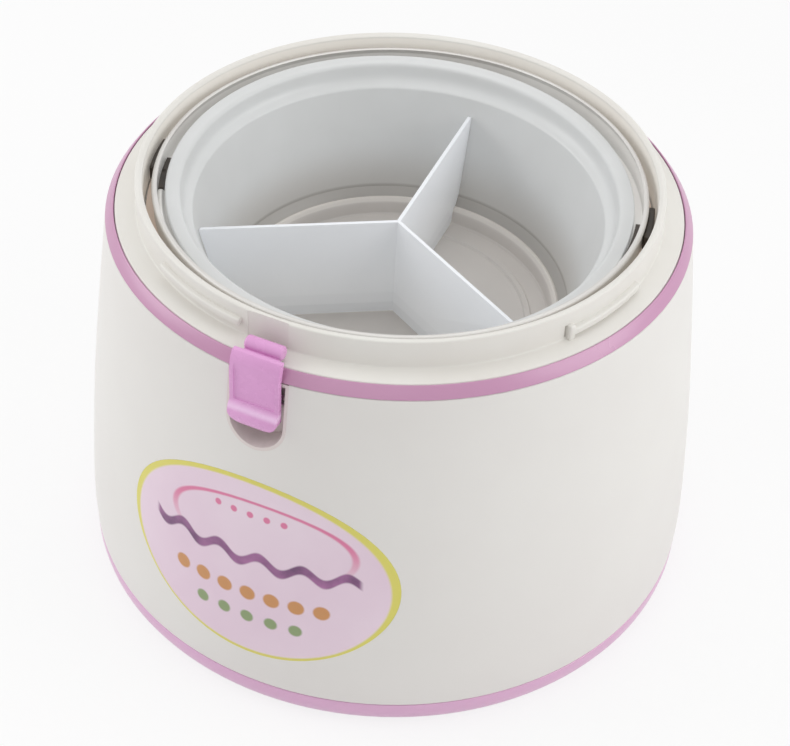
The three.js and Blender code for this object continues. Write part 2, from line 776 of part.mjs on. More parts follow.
function bailWire() {
  const skip = Math.asin((bailEndLength + fitGap) / bailRadius);
  const steps = bailWireSteps;
  const points = Array.from({ length: steps + 1 }, (_, i) => {
    const turn = radians(bailAxisAngle) - lerp(skip, Math.PI - skip, i / steps);
    return new THREE.Vector3(bailRadius * Math.cos(turn), bailRadius * Math.sin(turn), bailAxisZ);
  });
  const sides = bailWireSides;
  const section = shapeOf(Array.from({ length: sides }, (_, i) => {
    const turn = (2 * Math.PI * (i + 0.5)) / sides;
    return [bailWireRadius * Math.cos(turn), bailWireRadius * Math.sin(turn)];
  }));
  return solid(new THREE.ExtrudeGeometry(section, {
    steps, bevelEnabled: false, extrudePath: new THREE.CatmullRomCurve3(points),
  }));
}

// Tray and divider, drawn level about the lip's centre; the group below sets them askew

function tray() {
  const wall = trayWall;
  const lipUnder = -trayLipThickness;
  const mouth = -trayMouthDepth;
  const step = -trayStepDepth;
  const floor = -trayFloorDepth;
  const shelfOuter = trayFloorRadius + trayShelfWidth * trayShelfOuterShare;
  const shelfInner = trayFloorRadius + trayShelfWidth * trayShelfInnerShare;
  const skirt = potRadius - potWall - trayRoom;
  const rimPoint = ([wallShare, heightShare]) => [
    skirt - wall * wallShare, lerp(mouth, 0, heightShare)];
  return turned([
    [0, floor - wall], [trayFloorRadius + wall, floor - wall], [shelfOuter, step - wall],
    [trayStepRadius, step - wall], [trayStepRadius + wall, step], [trayMouthRadius + wall, mouth],
    ...trayRimOuterShares.map(rimPoint), [skirt, lipUnder],
    [trayLipRadius, lipUnder], [trayLipRadius, -trayLipRound], [trayLipRadius - trayLipRound, 0],
    [skirt, 0], [skirt - wall, -wall / 2], ...trayRimInnerShares.map(rimPoint),
    [trayMouthRadius + wall, lerp(mouth, 0, trayMouthRoundShare)],
    [trayMouthRadius, mouth], [trayStepRadius, step + wall], [trayStepRadius - wall, step],
    [shelfOuter, step], [shelfInner, step - wall], [trayFloorRadius, floor], [0, floor],
  ]);
}

function divider() {
  const gap = runningGap;
  const top = -dividerDepth;
  const step = -trayStepDepth;
  const floor = -trayFloorDepth;
  const shelfOuter = trayFloorRadius + trayShelfWidth * trayShelfOuterShare;
  const topRadius = lerp(trayStepRadius, trayMouthRadius, (top - step) / (-trayMouthDepth - step));
  const facetSag = trayMouthRadius * (1 - Math.cos(Math.PI / roundSegments));
  const vane = shapeOf([
    [0, floor + gap], [trayFloorRadius - gap, floor + gap],
    [trayFloorRadius - gap, step], [shelfOuter, step + gap],
    [trayStepRadius - dividerCornerCut, step + gap],
    [trayStepRadius - gap - facetSag, step + dividerCornerCut],
    [topRadius - gap - facetSag, top], [0, top],
  ]);
  const vanes = dividerAngles.map((angle) => {
    const sheet = new THREE.ExtrudeGeometry(vane, { depth: dividerWall, bevelEnabled: false })
      .rotateX(Math.PI / 2).translate(0, dividerWall / 2, 0).rotateZ(radians(angle));
    return solid(sheet);
  });
  return vanes.reduce((all, sheet) => all.add(sheet));
}

// Scene graph

const object = new THREE.Group();

function place(parent, name, manifold, finish) {
  const [color, roughness, metalness] = finishes[finish];
  const mesh = new THREE.Mesh(
    toGeometry(manifold), new THREE.MeshStandardMaterial({ color, roughness, metalness }));
  mesh.name = name;
  parent.add(mesh);
}

const housing = new THREE.Group();
object.add(housing);
place(housing, 'outer_shell', outerShell(), 'whiteShell');
place(housing, 'label_plate', labelPlate(), 'label');
place(housing, 'trim_band', trimBand(), 'pink');
place(housing, 'neck_collar', neckCollar(), 'creamCollar');
place(housing, 'base_ring', baseRing(), 'pink');
place(housing, 'bottom_cover', bottomCover(), 'whiteShell');
place(housing, 'foam_base', foamBase(), 'foam');
place(housing, 'foam_jacket', foamJacket(), 'foam');
place(housing, 'liner', liner(), 'steel');
place(housing, 'liner_gasket', linerGasket(), 'rubber');
place(housing, 'pot_rest', potRest(), 'rubber');
place(housing, 'latch_pocket', latchPocket(), 'creamCollar');
place(housing, 'latch_pin', latchPin(), 'steel');
place(housing, 'latch_spring', latchSpring(), 'steel');
screwPlaces().forEach((turn, i) => place(housing, `base_screw_${i + 1}`, baseScrew(turn), 'steel'));
for (let i = 0; i < footCount; i += 1) {
  place(housing, `foot_${i + 1}`, foot(radians((360 / footCount) * i)), 'rubber');
}

const latch = new THREE.Group();
object.add(latch);
place(latch, 'latch_lever', latchLever(), 'pink');

const potGroup = new THREE.Group();
object.add(potGroup);
place(potGroup, 'pot', potWithPinHoles(), 'steel');
place(potGroup, 'bail_pin_left', bailPin(bailSides.left), 'steel');
place(potGroup, 'bail_pin_right', bailPin(bailSides.right), 'steel');
place(potGroup, 'bail_ear_left', bailEar(bailSides.left), 'darkEar');
place(potGroup, 'bail_ear_right', bailEar(bailSides.right), 'darkEar');

const bail = new THREE.Group();
potGroup.add(bail);
place(bail, 'bail_wire', bailWire(), 'steel');
place(bail, 'bail_end_left', bailEnd(bailSides.left), 'darkEar');
place(bail, 'bail_end_right', bailEnd(bailSides.right), 'darkEar');

// The tray sits slightly askew in the pot's mouth, higher at the back
const trayGroup = new THREE.Group();
const tiltAxis = new THREE.Vector3(
  -Math.sin(radians(trayTiltTowards)), Math.cos(radians(trayTiltTowards)), 0).negate();
trayGroup.position.z = trayLipZ;
trayGroup.quaternion.setFromAxisAngle(tiltAxis, radians(trayTilt));
potGroup.add(trayGroup);
place(trayGroup, 'tray', tray(), 'clearTray');
place(trayGroup, 'divider', divider(), 'clearTray');

console.log(`latch spring: least gap between turns ${springGap().toFixed(2)} mm`);

export default object;
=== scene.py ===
import math

import bpy
from mathutils import Matrix, Quaternion, Vector


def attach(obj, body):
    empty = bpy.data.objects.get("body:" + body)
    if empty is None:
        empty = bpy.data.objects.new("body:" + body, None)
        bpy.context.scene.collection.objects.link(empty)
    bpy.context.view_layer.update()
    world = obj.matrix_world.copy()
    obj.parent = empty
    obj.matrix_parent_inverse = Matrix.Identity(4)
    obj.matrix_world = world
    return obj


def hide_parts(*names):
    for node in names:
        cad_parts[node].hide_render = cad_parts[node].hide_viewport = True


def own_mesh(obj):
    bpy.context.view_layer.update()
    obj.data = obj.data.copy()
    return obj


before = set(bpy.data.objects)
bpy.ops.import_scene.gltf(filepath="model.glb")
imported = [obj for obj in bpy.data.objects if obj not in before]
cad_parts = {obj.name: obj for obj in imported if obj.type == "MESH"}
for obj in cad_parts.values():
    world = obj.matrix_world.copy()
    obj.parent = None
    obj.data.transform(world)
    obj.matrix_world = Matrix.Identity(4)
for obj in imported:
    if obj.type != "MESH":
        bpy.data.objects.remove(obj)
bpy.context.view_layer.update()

print("frame loaded")

# Millimetres are used throughout and turned to metres where a mesh is made
mm = 0.001
finely = 128          # faces round a big ring
smallRound = 32       # faces round a small one
smoothAngle = 32      # edges flatter than this many degrees are shaded smooth
samePlace = 1e-6      # metres between two points that count as one
weldWithin = 0.002    # points nearer than this are joined
farFront = 150        # cutting shapes reach out to here
overrun = 4           # or this far past what they cut


def objectMode():
    if bpy.context.object and bpy.context.object.mode != "OBJECT":
        bpy.ops.object.mode_set(mode="OBJECT")


def startFresh():
    objectMode()
    bpy.ops.object.select_all(action="DESELECT")


def activate(obj):
    startFresh()
    obj.select_set(True)
    bpy.context.view_layer.objects.active = obj


def selectAll():
    bpy.ops.mesh.select_mode(type="VERT")
    bpy.ops.mesh.select_all(action="SELECT")


def editAll():
    bpy.ops.object.mode_set(mode="EDIT")
    selectAll()


def settle(obj):
    # the object's place goes into its mesh
    activate(obj)
    bpy.ops.object.transform_apply(location=True, rotation=True, scale=True)


def pickVerts(obj, wanted):
    # leaves edit mode on, with only the wanted vertices selected
    bpy.ops.object.mode_set(mode="EDIT")
    bpy.ops.mesh.select_mode(type="VERT")
    bpy.ops.mesh.select_all(action="DESELECT")
    bpy.ops.object.mode_set(mode="OBJECT")
    for vert in obj.data.vertices:
        vert.select = wanted(vert.co)
    bpy.ops.object.mode_set(mode="EDIT")


def faceOutwards():
    # joins doubled points, turns every face outwards and leaves edit mode
    selectAll()
    bpy.ops.mesh.remove_doubles(threshold=weldWithin * mm)
    bpy.ops.mesh.normals_make_consistent(inside=False)
    objectMode()


def onRing(co, radius, height):
    reach = math.hypot(co.x, co.y)
    return abs(reach - radius * mm) < samePlace and abs(co.z - height * mm) < samePlace


def bevelled(obj, width, segments=3, angle=30):
    activate(obj)
    bevel = obj.modifiers.new("roundedEdges", "BEVEL")
    bevel.width = width * mm
    bevel.segments = segments
    bevel.limit_method = "ANGLE"
    bevel.angle_limit = math.radians(angle)
    bevel.use_clamp_overlap = True
    bpy.ops.object.modifier_apply(modifier=bevel.name)
    return obj


def combined(obj, tool, operation):
    # joins, cuts or keeps the overlap with a tool, which is used up
    settle(tool)
    activate(obj)
    cut = obj.modifiers.new("cut", "BOOLEAN")
    cut.operation = operation
    cut.solver = "EXACT"
    cut.object = tool
    bpy.ops.object.modifier_apply(modifier=cut.name)
    bpy.data.objects.remove(tool)
    return obj


def cutBy(obj, tool):
    return combined(obj, tool, "DIFFERENCE")


def joinedWith(obj, tool):
    return combined(obj, tool, "UNION")


def dressed(obj, name, material, body, node):
    # last steps of every piece: place, shading, material, and what it stands for
    settle(obj)
    bpy.ops.object.shade_smooth_by_angle(angle=math.radians(smoothAngle))
    obj.name = name
    obj.data.name = name
    obj.data.materials.clear()
    obj.data.materials.append(material)
    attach(obj, body)
    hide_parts(node)
    return obj


def numberedCopies(first, places, name, material, node):
    # every copy has a mesh of its own, and the first is used up
    for i, place in enumerate(places, 1):
        twin = first.copy()
        twin.data = first.data.copy()
        bpy.context.scene.collection.objects.link(twin)
        twin.location = Vector(place) * mm
        dressed(twin, f"{name}{i}", material, "housing", f"{node}_{i}")
    bpy.data.objects.remove(first)


def turnedPiece(outline, segments=finely, solidEnds=False):
    # a circle is extruded and scaled from point to point of the outline, then closed
    startFresh()
    radius, height = outline[0]
    bpy.ops.mesh.primitive_circle_add(vertices=segments, radius=radius * mm, location=(0, 0, height * mm))
    obj = bpy.context.object
    settle(obj)
    editAll()
    for nextRadius, nextHeight in outline[1:]:
        bpy.ops.mesh.extrude_region_move(
            TRANSFORM_OT_translate={"value": (0, 0, (nextHeight - height) * mm)})
        share = nextRadius / radius
        bpy.ops.transform.resize(value=(share, share, 1), center_override=(0, 0, nextHeight * mm))
        radius, height = nextRadius, nextHeight
    if solidEnds:
        closeEnd(obj)
        closeEnd(obj, outline[0])
    else:
        pickVerts(obj, lambda co: onRing(co, *outline[0]) or onRing(co, *outline[-1]))
        bpy.ops.mesh.bridge_edge_loops()
    faceOutwards()
    return obj


def closeEnd(obj, rim=None):
    # draws the selected or the given open rim in to the axis
    if rim:
        pickVerts(obj, lambda co: onRing(co, *rim))
    bpy.ops.mesh.extrude_region_move()
    bpy.ops.mesh.merge(type="CENTER")


def tracedFace(points):
    # a point is extruded round an outline, and the loop is filled
    startFresh()
    bpy.ops.mesh.primitive_plane_add(size=mm)
    obj = bpy.context.object
    editAll()
    bpy.ops.mesh.merge(type="CENTER")
    places = [Vector(point) * mm for point in points]
    bpy.ops.transform.translate(value=places[0])
    for start, end in zip(places, places[1:]):
        bpy.ops.mesh.extrude_vertices_move(TRANSFORM_OT_translate={"value": end - start})
    selectAll()
    bpy.ops.mesh.edge_face_add()
    return obj


def thickened(obj, along):
    # the selected face becomes a solid along a direction
    selectAll()
    bpy.ops.mesh.extrude_region_move(TRANSFORM_OT_translate={"value": Vector(along) * mm})
    faceOutwards()
    return obj


def block(low, high):
    startFresh()
    centre = [(a + b) / 2 * mm for a, b in zip(low, high)]
    bpy.ops.mesh.primitive_cube_add(size=1, location=centre)
    obj = bpy.context.object
    obj.scale = [(b - a) * mm for a, b in zip(low, high)]
    settle(obj)
    return obj


def rod(start, end, radius, segments=smallRound):
    startFresh()
    a, b = Vector(start) * mm, Vector(end) * mm
    bpy.ops.mesh.primitive_cylinder_add(
        vertices=segments, radius=radius * mm, depth=(b - a).length, location=(a + b) / 2)
    obj = bpy.context.object
    obj.rotation_mode = "QUATERNION"
    obj.rotation_quaternion = (b - a).to_track_quat("Z", "Y")
    settle(obj)
    return obj


def onCircle(radius, turn, height):
    a = math.radians(turn)
    return (radius * math.cos(a), radius * math.sin(a), height)


def spoke(turn, near, far, height, radius, segments=smallRound):
    # a rod that points straight out from the upright axis
    return rod(onCircle(near, turn, height), onCircle(far, turn, height), radius, segments)


def arcPoints(centre, radius, start, end, steps):
    turns = [math.radians(start + (end - start) * i / steps) for i in range(steps + 1)]
    return [(centre[0] + radius * math.cos(a), centre[1] + radius * math.sin(a)) for a in turns]


def oblong(near, far, low, high):
    return [(near, low), (far, low), (far, high), (near, high)]


def sweptArc(section, startAngle, endAngle, steps):
    # a section of [radius, height] points, spun about the upright axis
    a = math.radians(startAngle)
    obj = tracedFace([(r * math.cos(a), r * math.sin(a), z) for r, z in section])
    selectAll()
    # with no window open, a spin about the upright axis runs clockwise
    bpy.ops.mesh.spin(
        steps=steps, angle=-math.radians(endAngle - startAngle), center=(0, 0, 0), axis=(0, 0, 1))
    faceOutwards()
    return obj


def flowing(points, steps):
    # a smooth curve through [radius, height] points that never swings past them
    slopes = []
    runs = [(b[0] - a[0]) / (b[1] - a[1]) for a, b in zip(points, points[1:])]
    for before, after in zip([runs[0]] + runs, runs + [runs[-1]]):
        slopes.append(0 if before * after <= 0 else 2 * before * after / (before + after))
    out = []
    for (r0, z0), (r1, z1), m0, m1 in zip(points, points[1:], slopes, slopes[1:]):
        rise = z1 - z0
        for k in range(steps):
            t = k / steps
            out.append((
                (2 * t**3 - 3 * t**2 + 1) * r0 + (t**3 - 2 * t**2 + t) * rise * m0
                + (3 * t**2 - 2 * t**3) * r1 + (t**3 - t**2) * rise * m1,
                z0 + rise * t))
    return out + [points[-1]]


def moved(outline, outwards):
    return [(r + outwards, z) for r, z in outline]


def newMaterial(name):
    material = bpy.data.materials.new(name)
    material.use_nodes = True
    tree = material.node_tree
    shader = tree.nodes["Principled BSDF"]
    place = tree.nodes.new("ShaderNodeTexCoord")
    return material, tree, shader, place.outputs["Object"]


def noiseOn(tree, vector, scale, detail=3):
    noise = tree.nodes.new("ShaderNodeTexNoise")
    noise.inputs["Scale"].default_value = scale
    noise.inputs["Detail"].default_value = detail
    tree.links.new(vector, noise.inputs["Vector"])
    return noise.outputs[0]


def feed(tree, socket, value):
    # a number or a colour is set, and another node's output is linked
    if isinstance(value, (int, float)):
        socket.default_value = value
    elif isinstance(value, tuple):
        socket.default_value = (*value, 1)
    else:
        tree.links.new(value, socket)


def calculate(tree, operation, *values):
    node = tree.nodes.new("ShaderNodeMath")
    node.operation = operation
    for socket, value in zip(node.inputs, values):
        feed(tree, socket, value)
    return node.outputs[0]


def blendColours(tree, factor, first, second):
    mix = tree.nodes.new("ShaderNodeMix")
    mix.data_type = "RGBA"
    for number, value in ((0, factor), (6, first), (7, second)):
        feed(tree, mix.inputs[number], value)
    return mix.outputs[2]


def mapped(tree, value, limits, ends=(0, 1), course="LINEAR"):
    # what lies between two limits is spread between two ends
    node = tree.nodes.new("ShaderNodeMapRange")
    node.interpolation_type = course
    for name, number in zip(("From Min", "From Max", "To Min", "To Max"), (*limits, *ends)):
        node.inputs[name].default_value = number
    tree.links.new(value, node.inputs["Value"])
    return node.outputs[0]


def smoothly(tree, value, low, high):
    # 0 below the first limit, 1 above the second
    return mapped(tree, value, (low, high), course="SMOOTHSTEP")


noiseSpan = (0.25, 0.75)   # most of a noise lies between these


def between(tree, noise, low, high):
    return mapped(tree, noise, noiseSpan, (low, high))


def cloudOn(tree, place, scale):
    return between(tree, noiseOn(tree, place, scale), 0, 1)


def clouded(tree, place, look):
    # two near shades in soft clouds
    return blendColours(tree, cloudOn(tree, place, look["cloudScale"]), look["colour"], look["shade"])


def worn(tree, noise, look):
    # the roughness wanders by the wear
    return between(tree, noise, look["roughness"] - look["wear"], look["roughness"] + look["wear"])


def grainOn(tree, place, look):
    return noiseOn(tree, place, look["grainScale"], 2)


def surfaced(tree, shader, colour, gloss, relief, look):
    # colour, gloss and fine relief go to the shader
    bump = tree.nodes.new("ShaderNodeBump")
    bump.inputs["Strength"].default_value = look["grain"]
    bump.inputs["Distance"].default_value = look["grainDepth"] * mm
    tree.links.new(relief, bump.inputs["Height"])
    for name, value in (("Base Color", colour), ("Roughness", gloss), ("Normal", bump.outputs[0])):
        tree.links.new(value, shader.inputs[name])


def product(tree, a, b):
    return calculate(tree, "MULTIPLY", a, b)


def inverse(tree, value):
    return calculate(tree, "SUBTRACT", 1, value)


def length2(tree, a, b):
    return calculate(tree, "SQRT", calculate(tree, "ADD", product(tree, a, a), product(tree, b, b)))


def axes(tree, place):
    split = tree.nodes.new("ShaderNodeSeparateXYZ")
    tree.links.new(place, split.inputs[0])
    return split.outputs


def litWithin(material, look):
    # a weak light of its own, for the light that the milky tray lets through to the channel round it
    tree = material.node_tree
    shader = tree.nodes["Principled BSDF"]
    x, y, z = axes(tree, tree.nodes.new("ShaderNodeTexCoord").outputs["Object"])
    outer, low, high, soft = (look[key] * mm for key in ("radius", "low", "high", "soft"))
    within = inverse(tree, smoothly(tree, length2(tree, x, y), outer - soft, outer))
    fromLow = smoothly(tree, z, low, low + soft)
    toHigh = inverse(tree, smoothly(tree, z, high - soft, high))
    lit = product(tree, product(tree, within, product(tree, fromLow, toHigh)), look["strength"])
    tree.links.new(lit, shader.inputs["Emission Strength"])
    shader.inputs["Emission Color"].default_value = (*look["colour"], 1)


def mouldedPlastic(name, changes):
    look = {**plasticLook, **changes}
    material, tree, shader, place = newMaterial(name)
    colour = clouded(tree, place, look)
    if "paintedHighlight" in look:
        # painted highlight: a paler band between two heights, where the light catches the lip's upper edge
        middle = (look["highlightFrom"] + look["highlightTo"]) / 2 * mm
        z = axes(tree, place)[2]
        rise = smoothly(tree, z, look["highlightFrom"] * mm, middle)
        fall = inverse(tree, smoothly(tree, z, middle, look["highlightTo"] * mm))
        colour = blendColours(tree, product(tree, rise, fall), colour, look["paintedHighlight"])
    gloss = worn(tree, noiseOn(tree, place, look["cloudScale"] * 3), look)
    surfaced(tree, shader, colour, gloss, grainOn(tree, place, look), look)
    shader.inputs["Specular IOR Level"].default_value = look["specular"]
    return material


def turnedSteel(name, changes):
    # fine rings about the upright axis, as a lathe or polishing wheel leaves
    look = {**steelLook, **changes}
    material, tree, shader, place = newMaterial(name)
    x, y, z = axes(tree, place)
    rings = tree.nodes.new("ShaderNodeCombineXYZ")
    tree.links.new(length2(tree, x, y), rings.inputs[0])
    tree.links.new(z, rings.inputs[1])
    lines = noiseOn(tree, rings.outputs[0], look["lineScale"], 4)
    surfaced(tree, shader, clouded(tree, place, look), worn(tree, lines, look), lines, look)
    shader.inputs["Metallic"].default_value = look["metallic"]
    return material


# what each kind of finish shares: scales are per metre, and depths are in millimetres
plasticLook = {
    "cloudScale": 11, "grainScale": 2200, "grain": 0.12, "grainDepth": 0.05, "specular": 0.4,
    "wear": 0.04,
}
steelLook = {
    "lineScale": 2500, "cloudScale": 120, "grain": 0.06, "grainDepth": 0.02, "metallic": 1, "wear": 0.08,
}
whiteShell = mouldedPlastic("whiteShell", {
    "colour": (0.80, 0.785, 0.755), "shade": (0.765, 0.74, 0.715), "roughness": 0.4})
creamCollar = mouldedPlastic("creamCollar", {
    "colour": (0.80, 0.785, 0.745), "shade": (0.76, 0.735, 0.69), "roughness": 0.44, "cloudScale": 24})
bandPink = mouldedPlastic("bandPink", {
    "colour": (0.56, 0.28, 0.45), "shade": (0.52, 0.25, 0.41), "roughness": 0.3, "specular": 0.8})
basePink = mouldedPlastic("basePink", {
    "colour": (0.74, 0.43, 0.65), "shade": (0.70, 0.40, 0.60), "roughness": 0.32, "specular": 0.8})
# the latch's paler band from 163.2 to 168 mm is a painted highlight on its lip's upper edge
latchPink = mouldedPlastic("latchPink", {
    "colour": (0.77, 0.385, 0.69), "shade": (0.72, 0.35, 0.64), "roughness": 0.27,
    "cloudScale": 60, "paintedHighlight": (0.90, 0.60, 0.86), "highlightFrom": 163.2, "highlightTo": 168.0})
siliconeRubber = mouldedPlastic("siliconeRubber", {
    "colour": (0.16, 0.16, 0.16), "shade": (0.12, 0.12, 0.12), "roughness": 0.75, "specular": 0.3})
darkFitting = mouldedPlastic("darkFitting", {
    "colour": (0.035, 0.03, 0.026), "shade": (0.06, 0.045, 0.035), "roughness": 0.5,
    "cloudScale": 180})
recessPlastic = mouldedPlastic("recessPlastic", {
    "colour": (0.78, 0.72, 0.70), "shade": (0.72, 0.645, 0.62), "roughness": 0.45})
insulatingFoam = mouldedPlastic("insulatingFoam", {
    "colour": (0.78, 0.70, 0.50), "shade": (0.70, 0.60, 0.40), "roughness": 0.9,
    "grainScale": 900, "grain": 0.5, "grainDepth": 0.3, "specular": 0.15})
gasketSilicone = mouldedPlastic("gasketSilicone", {
    "colour": (0.68, 0.57, 0.49), "shade": (0.60, 0.49, 0.41), "roughness": 0.6})
potSteel = turnedSteel("potSteel", {
    "colour": (0.68, 0.67, 0.65), "shade": (0.61, 0.59, 0.565), "roughness": 0.5,
    "metallic": 0.5, "lineScale": 1500, "cloudScale": 30, "grain": 0.1, "grainDepth": 0.04})
bailSteel = turnedSteel("bailSteel", {
    "colour": (0.76, 0.75, 0.73), "shade": (0.66, 0.65, 0.62), "roughness": 0.42, "metallic": 0.6})
fastenerSteel = turnedSteel("fastenerSteel", {
    "colour": (0.62, 0.61, 0.60), "shade": (0.52, 0.51, 0.49), "roughness": 0.34})

neckLight = {"radius": 112.6, "low": 182, "high": 199, "soft": 1.0}
rimLight = {"radius": 107.2, "low": 183.5, "high": 194.2, "soft": 0.8}
litWithin(creamCollar, {**neckLight, "strength": 0.13, "colour": (0.86, 0.80, 0.71)})
litWithin(gasketSilicone, {
    **neckLight, "high": 186, "soft": 0.2, "strength": 0.14, "colour": (0.80, 0.66, 0.56)})
litWithin(potSteel, {**rimLight, "strength": 0.2, "colour": (0.80, 0.79, 0.77)})
litWithin(bailSteel, {**rimLight, "strength": 0.14, "colour": (0.80, 0.80, 0.78)})


dish = {
    "lip": 102.3, "lipHeight": 191.3, "skirt": 97.0, "mouth": 90.4, "mouthDepth": 10.7,
    "step": 79.5, "stepDepth": 60.3, "floor": 72.0, "floorDepth": 71.3, "wall": 1.6,
    "tilt": 2.24, "tiltTowards": 138, "ringFrom": 60.0, "ringTo": 63.0, "ringHeight": 0.9,
    "beadRadius": 74.4, "beadHalf": 1.0, "beadHeight": 0.6, "shelfFall": 3.0,
}


def tiltAxis():
    toward = math.radians(dish["tiltTowards"])
    return Vector((math.sin(toward), -math.cos(toward), 0))


def milkyPlastic(name, changes):
    # thin plastic with painted light and shade: its colour runs to a painted depth shading towards the
    # pot's depth, darker on the tray, with painted shade on the shelf outside the bead and a painted
    # highlight on the bead
    look = {**milkyLook, **changes}
    material, tree, shader, place = newMaterial(name)
    upright = tree.nodes.new("ShaderNodeVectorRotate")
    upright.inputs["Center"].default_value = (0, 0, dish["lipHeight"] * mm)
    upright.inputs["Axis"].default_value = tiltAxis()
    upright.inputs["Angle"].default_value = -math.radians(dish["tilt"])
    tree.links.new(place, upright.inputs["Vector"])
    x, y, z = axes(tree, upright.outputs[0])

    def past(value, middle, span):
        return smoothly(tree, value, (middle + span[0]) * mm, (middle + span[1]) * mm)

    shelf = dish["lipHeight"] - dish["stepDepth"]
    cloud = cloudOn(tree, place, look["cloudScale"])
    pale = blendColours(tree, cloud, look["colour"], look["shade"])
    # painted shade: the wall runs from its pale colour higher up to its depth shading at the shelf
    wall = blendColours(tree, past(z, shelf, (0, look["fade"])), look["depthShading"], pale)
    # painted highlight on the bead, painted shade on the shelf outside it
    outside = past(length2(tree, x, y), dish["beadRadius"] + dish["beadHalf"], look["beadBlend"])
    ledge = blendColours(tree, outside, look["bead"], look["shelf"])
    low = blendColours(tree, cloud, look["lowColour"], look["lowShade"])
    colour = blendColours(tree, past(z, shelf, look["shelfBlend"]), ledge, wall)
    colour = blendColours(tree, past(z, shelf - dish["shelfFall"], look["lowBlend"]), low, colour)
    gloss = between(tree, noiseOn(tree, place, look["cloudScale"] * 2), *look["gloss"])
    surfaced(tree, shader, colour, gloss, grainOn(tree, place, look), look)
    shader.inputs["IOR"].default_value = look["ior"]
    # painted light: the plastic glows a little, standing in for light scattered in from the lit lip
    shader.inputs["Emission Color"].default_value = (*look["colour"], 1)
    shader.inputs["Emission Strength"].default_value = look["glow"]
    return material


milkyLook = {
    "cloudScale": 26, "gloss": (0.3, 0.36), "ior": 1.49, "grainScale": 1400, "grain": 0.08,
    "grainDepth": 0.05,
    # millimetres over which one colour runs into the next, from the shelf, its low edge and its bead
    "shelfBlend": (0.9, 2.5), "lowBlend": (-1.6, -0.8), "beadBlend": (-0.2, 0.3),
}
# the depth and shelf colours are painted shade, the bead colour a painted highlight, and glow a painted
# glow
trayMilky = milkyPlastic("trayMilky", {
    "colour": (0.68, 0.69, 0.69), "shade": (0.63, 0.64, 0.635), "depthShading": (0.54, 0.525, 0.50),
    "shelf": (0.38, 0.36, 0.335), "bead": (0.73, 0.69, 0.645), "lowColour": (0.64, 0.60, 0.565),
    "lowShade": (0.58, 0.55, 0.52), "fade": 26, "glow": 0.03})
dividerMilky = milkyPlastic("dividerMilky", {
    "colour": (0.83, 0.85, 0.88), "shade": (0.80, 0.82, 0.85), "depthShading": (0.87, 0.89, 0.91),
    "shelf": (0.84, 0.86, 0.88), "bead": (0.84, 0.86, 0.88), "lowColour": (0.80, 0.82, 0.84),
    "lowShade": (0.77, 0.79, 0.81), "fade": 40, "glow": 0.08})
print("materials made")


photoView = {
    "lens": 94.15, "sensor": 36, "place": (0.3044, -0.6680, 0.7182), "target": (0, 0, 0.1),
    "roll": 2.51, "shift": (0.0017, -0.0312),
}


def aimed(data, place, target):
    obj = bpy.data.objects.new(data.name, data)
    bpy.context.scene.collection.objects.link(obj)
    obj.location = place
    obj.rotation_mode = "QUATERNION"
    obj.rotation_quaternion = (Vector(target) - Vector(place)).to_track_quat("-Z", "Y")
    return obj


def makeCamera():
    data = bpy.data.cameras.new("photoCamera")
    data.lens = photoView["lens"]
    data.sensor_width = photoView["sensor"]
    data.shift_x, data.shift_y = photoView["shift"]
    camera = aimed(data, photoView["place"], photoView["target"])
    rollTurn = Quaternion((0, 0, 1), math.radians(photoView["roll"]))
    camera.rotation_quaternion = camera.rotation_quaternion @ rollTurn
    bpy.context.scene.camera = camera


stageLook = {
    "world": 0.62, "floorRadius": 4, "floorColour": (0.86, 0.86, 0.86), "floorRoughness": 0.8,
    "floorWhite": 0.8, "lampTarget": (0, 0, 0.12),
    # place, size, power
    "lamps": [
        ((-1.1, -0.35, 0.75), 1.0, 5.4),
        ((1.1, 0.15, 0.7), 1.0, 4.9),
        ((0.0, 0.35, 1.5), 1.2, 3.4),
        ((0.25, -1.2, 0.9), 0.9, 0.7),
    ],
}


def whiteToTheEye(tree, shaded, white, share, outputNode):
    # what the camera, glossy and see-through rays meet is partly plain white
    path = tree.nodes.new("ShaderNodeLightPath")
    seen = calculate(tree, "MAXIMUM", path.outputs["Is Camera Ray"], calculate(
        tree, "MAXIMUM", path.outputs["Is Glossy Ray"], path.outputs["Is Transmission Ray"]))
    mix = tree.nodes.new("ShaderNodeMixShader")
    tree.links.new(product(tree, seen, share), mix.inputs[0])
    tree.links.new(shaded, mix.inputs[1])
    tree.links.new(white, mix.inputs[2])
    tree.links.new(mix.outputs[0], outputNode.inputs["Surface"])


def makeStage():
    world = bpy.data.worlds.new("studio")
    bpy.context.scene.world = world
    world.use_nodes = True
    tree = world.node_tree
    ambient = tree.nodes["Background"]
    ambient.inputs["Color"].default_value = (1, 1, 1, 1)
    ambient.inputs["Strength"].default_value = stageLook["world"]
    white = tree.nodes.new("ShaderNodeBackground")
    white.inputs["Color"].default_value = (1, 1, 1, 1)
    whiteToTheEye(tree, ambient.outputs[0], white.outputs[0], 1, tree.nodes["World Output"])

    startFresh()
    bpy.ops.mesh.primitive_circle_add(
        vertices=64, radius=stageLook["floorRadius"], fill_type="NGON", location=(0, 0, 0))
    floor = bpy.context.object
    floor.name = "floor"
    material, tree, shader, place = newMaterial("paleFloor")
    shader.inputs["Base Color"].default_value = (*stageLook["floorColour"], 1)
    shader.inputs["Roughness"].default_value = stageLook["floorRoughness"]
    glow = tree.nodes.new("ShaderNodeEmission")
    glow.inputs["Color"].default_value = (1, 1, 1, 1)
    whiteToTheEye(
        tree, shader.outputs[0], glow.outputs[0], stageLook["floorWhite"], tree.nodes["Material Output"])
    floor.data.materials.append(material)

    for i, (place, size, power) in enumerate(stageLook["lamps"]):
        data = bpy.data.lights.new(f"softbox{i + 1}", "AREA")
        data.shape = "DISK"
        data.size = size
        data.energy = power
        aimed(data, place, stageLook["lampTarget"])


bpy.context.scene.view_settings.view_transform = "Standard"
makeCamera()
makeStage()
print("camera and light set")


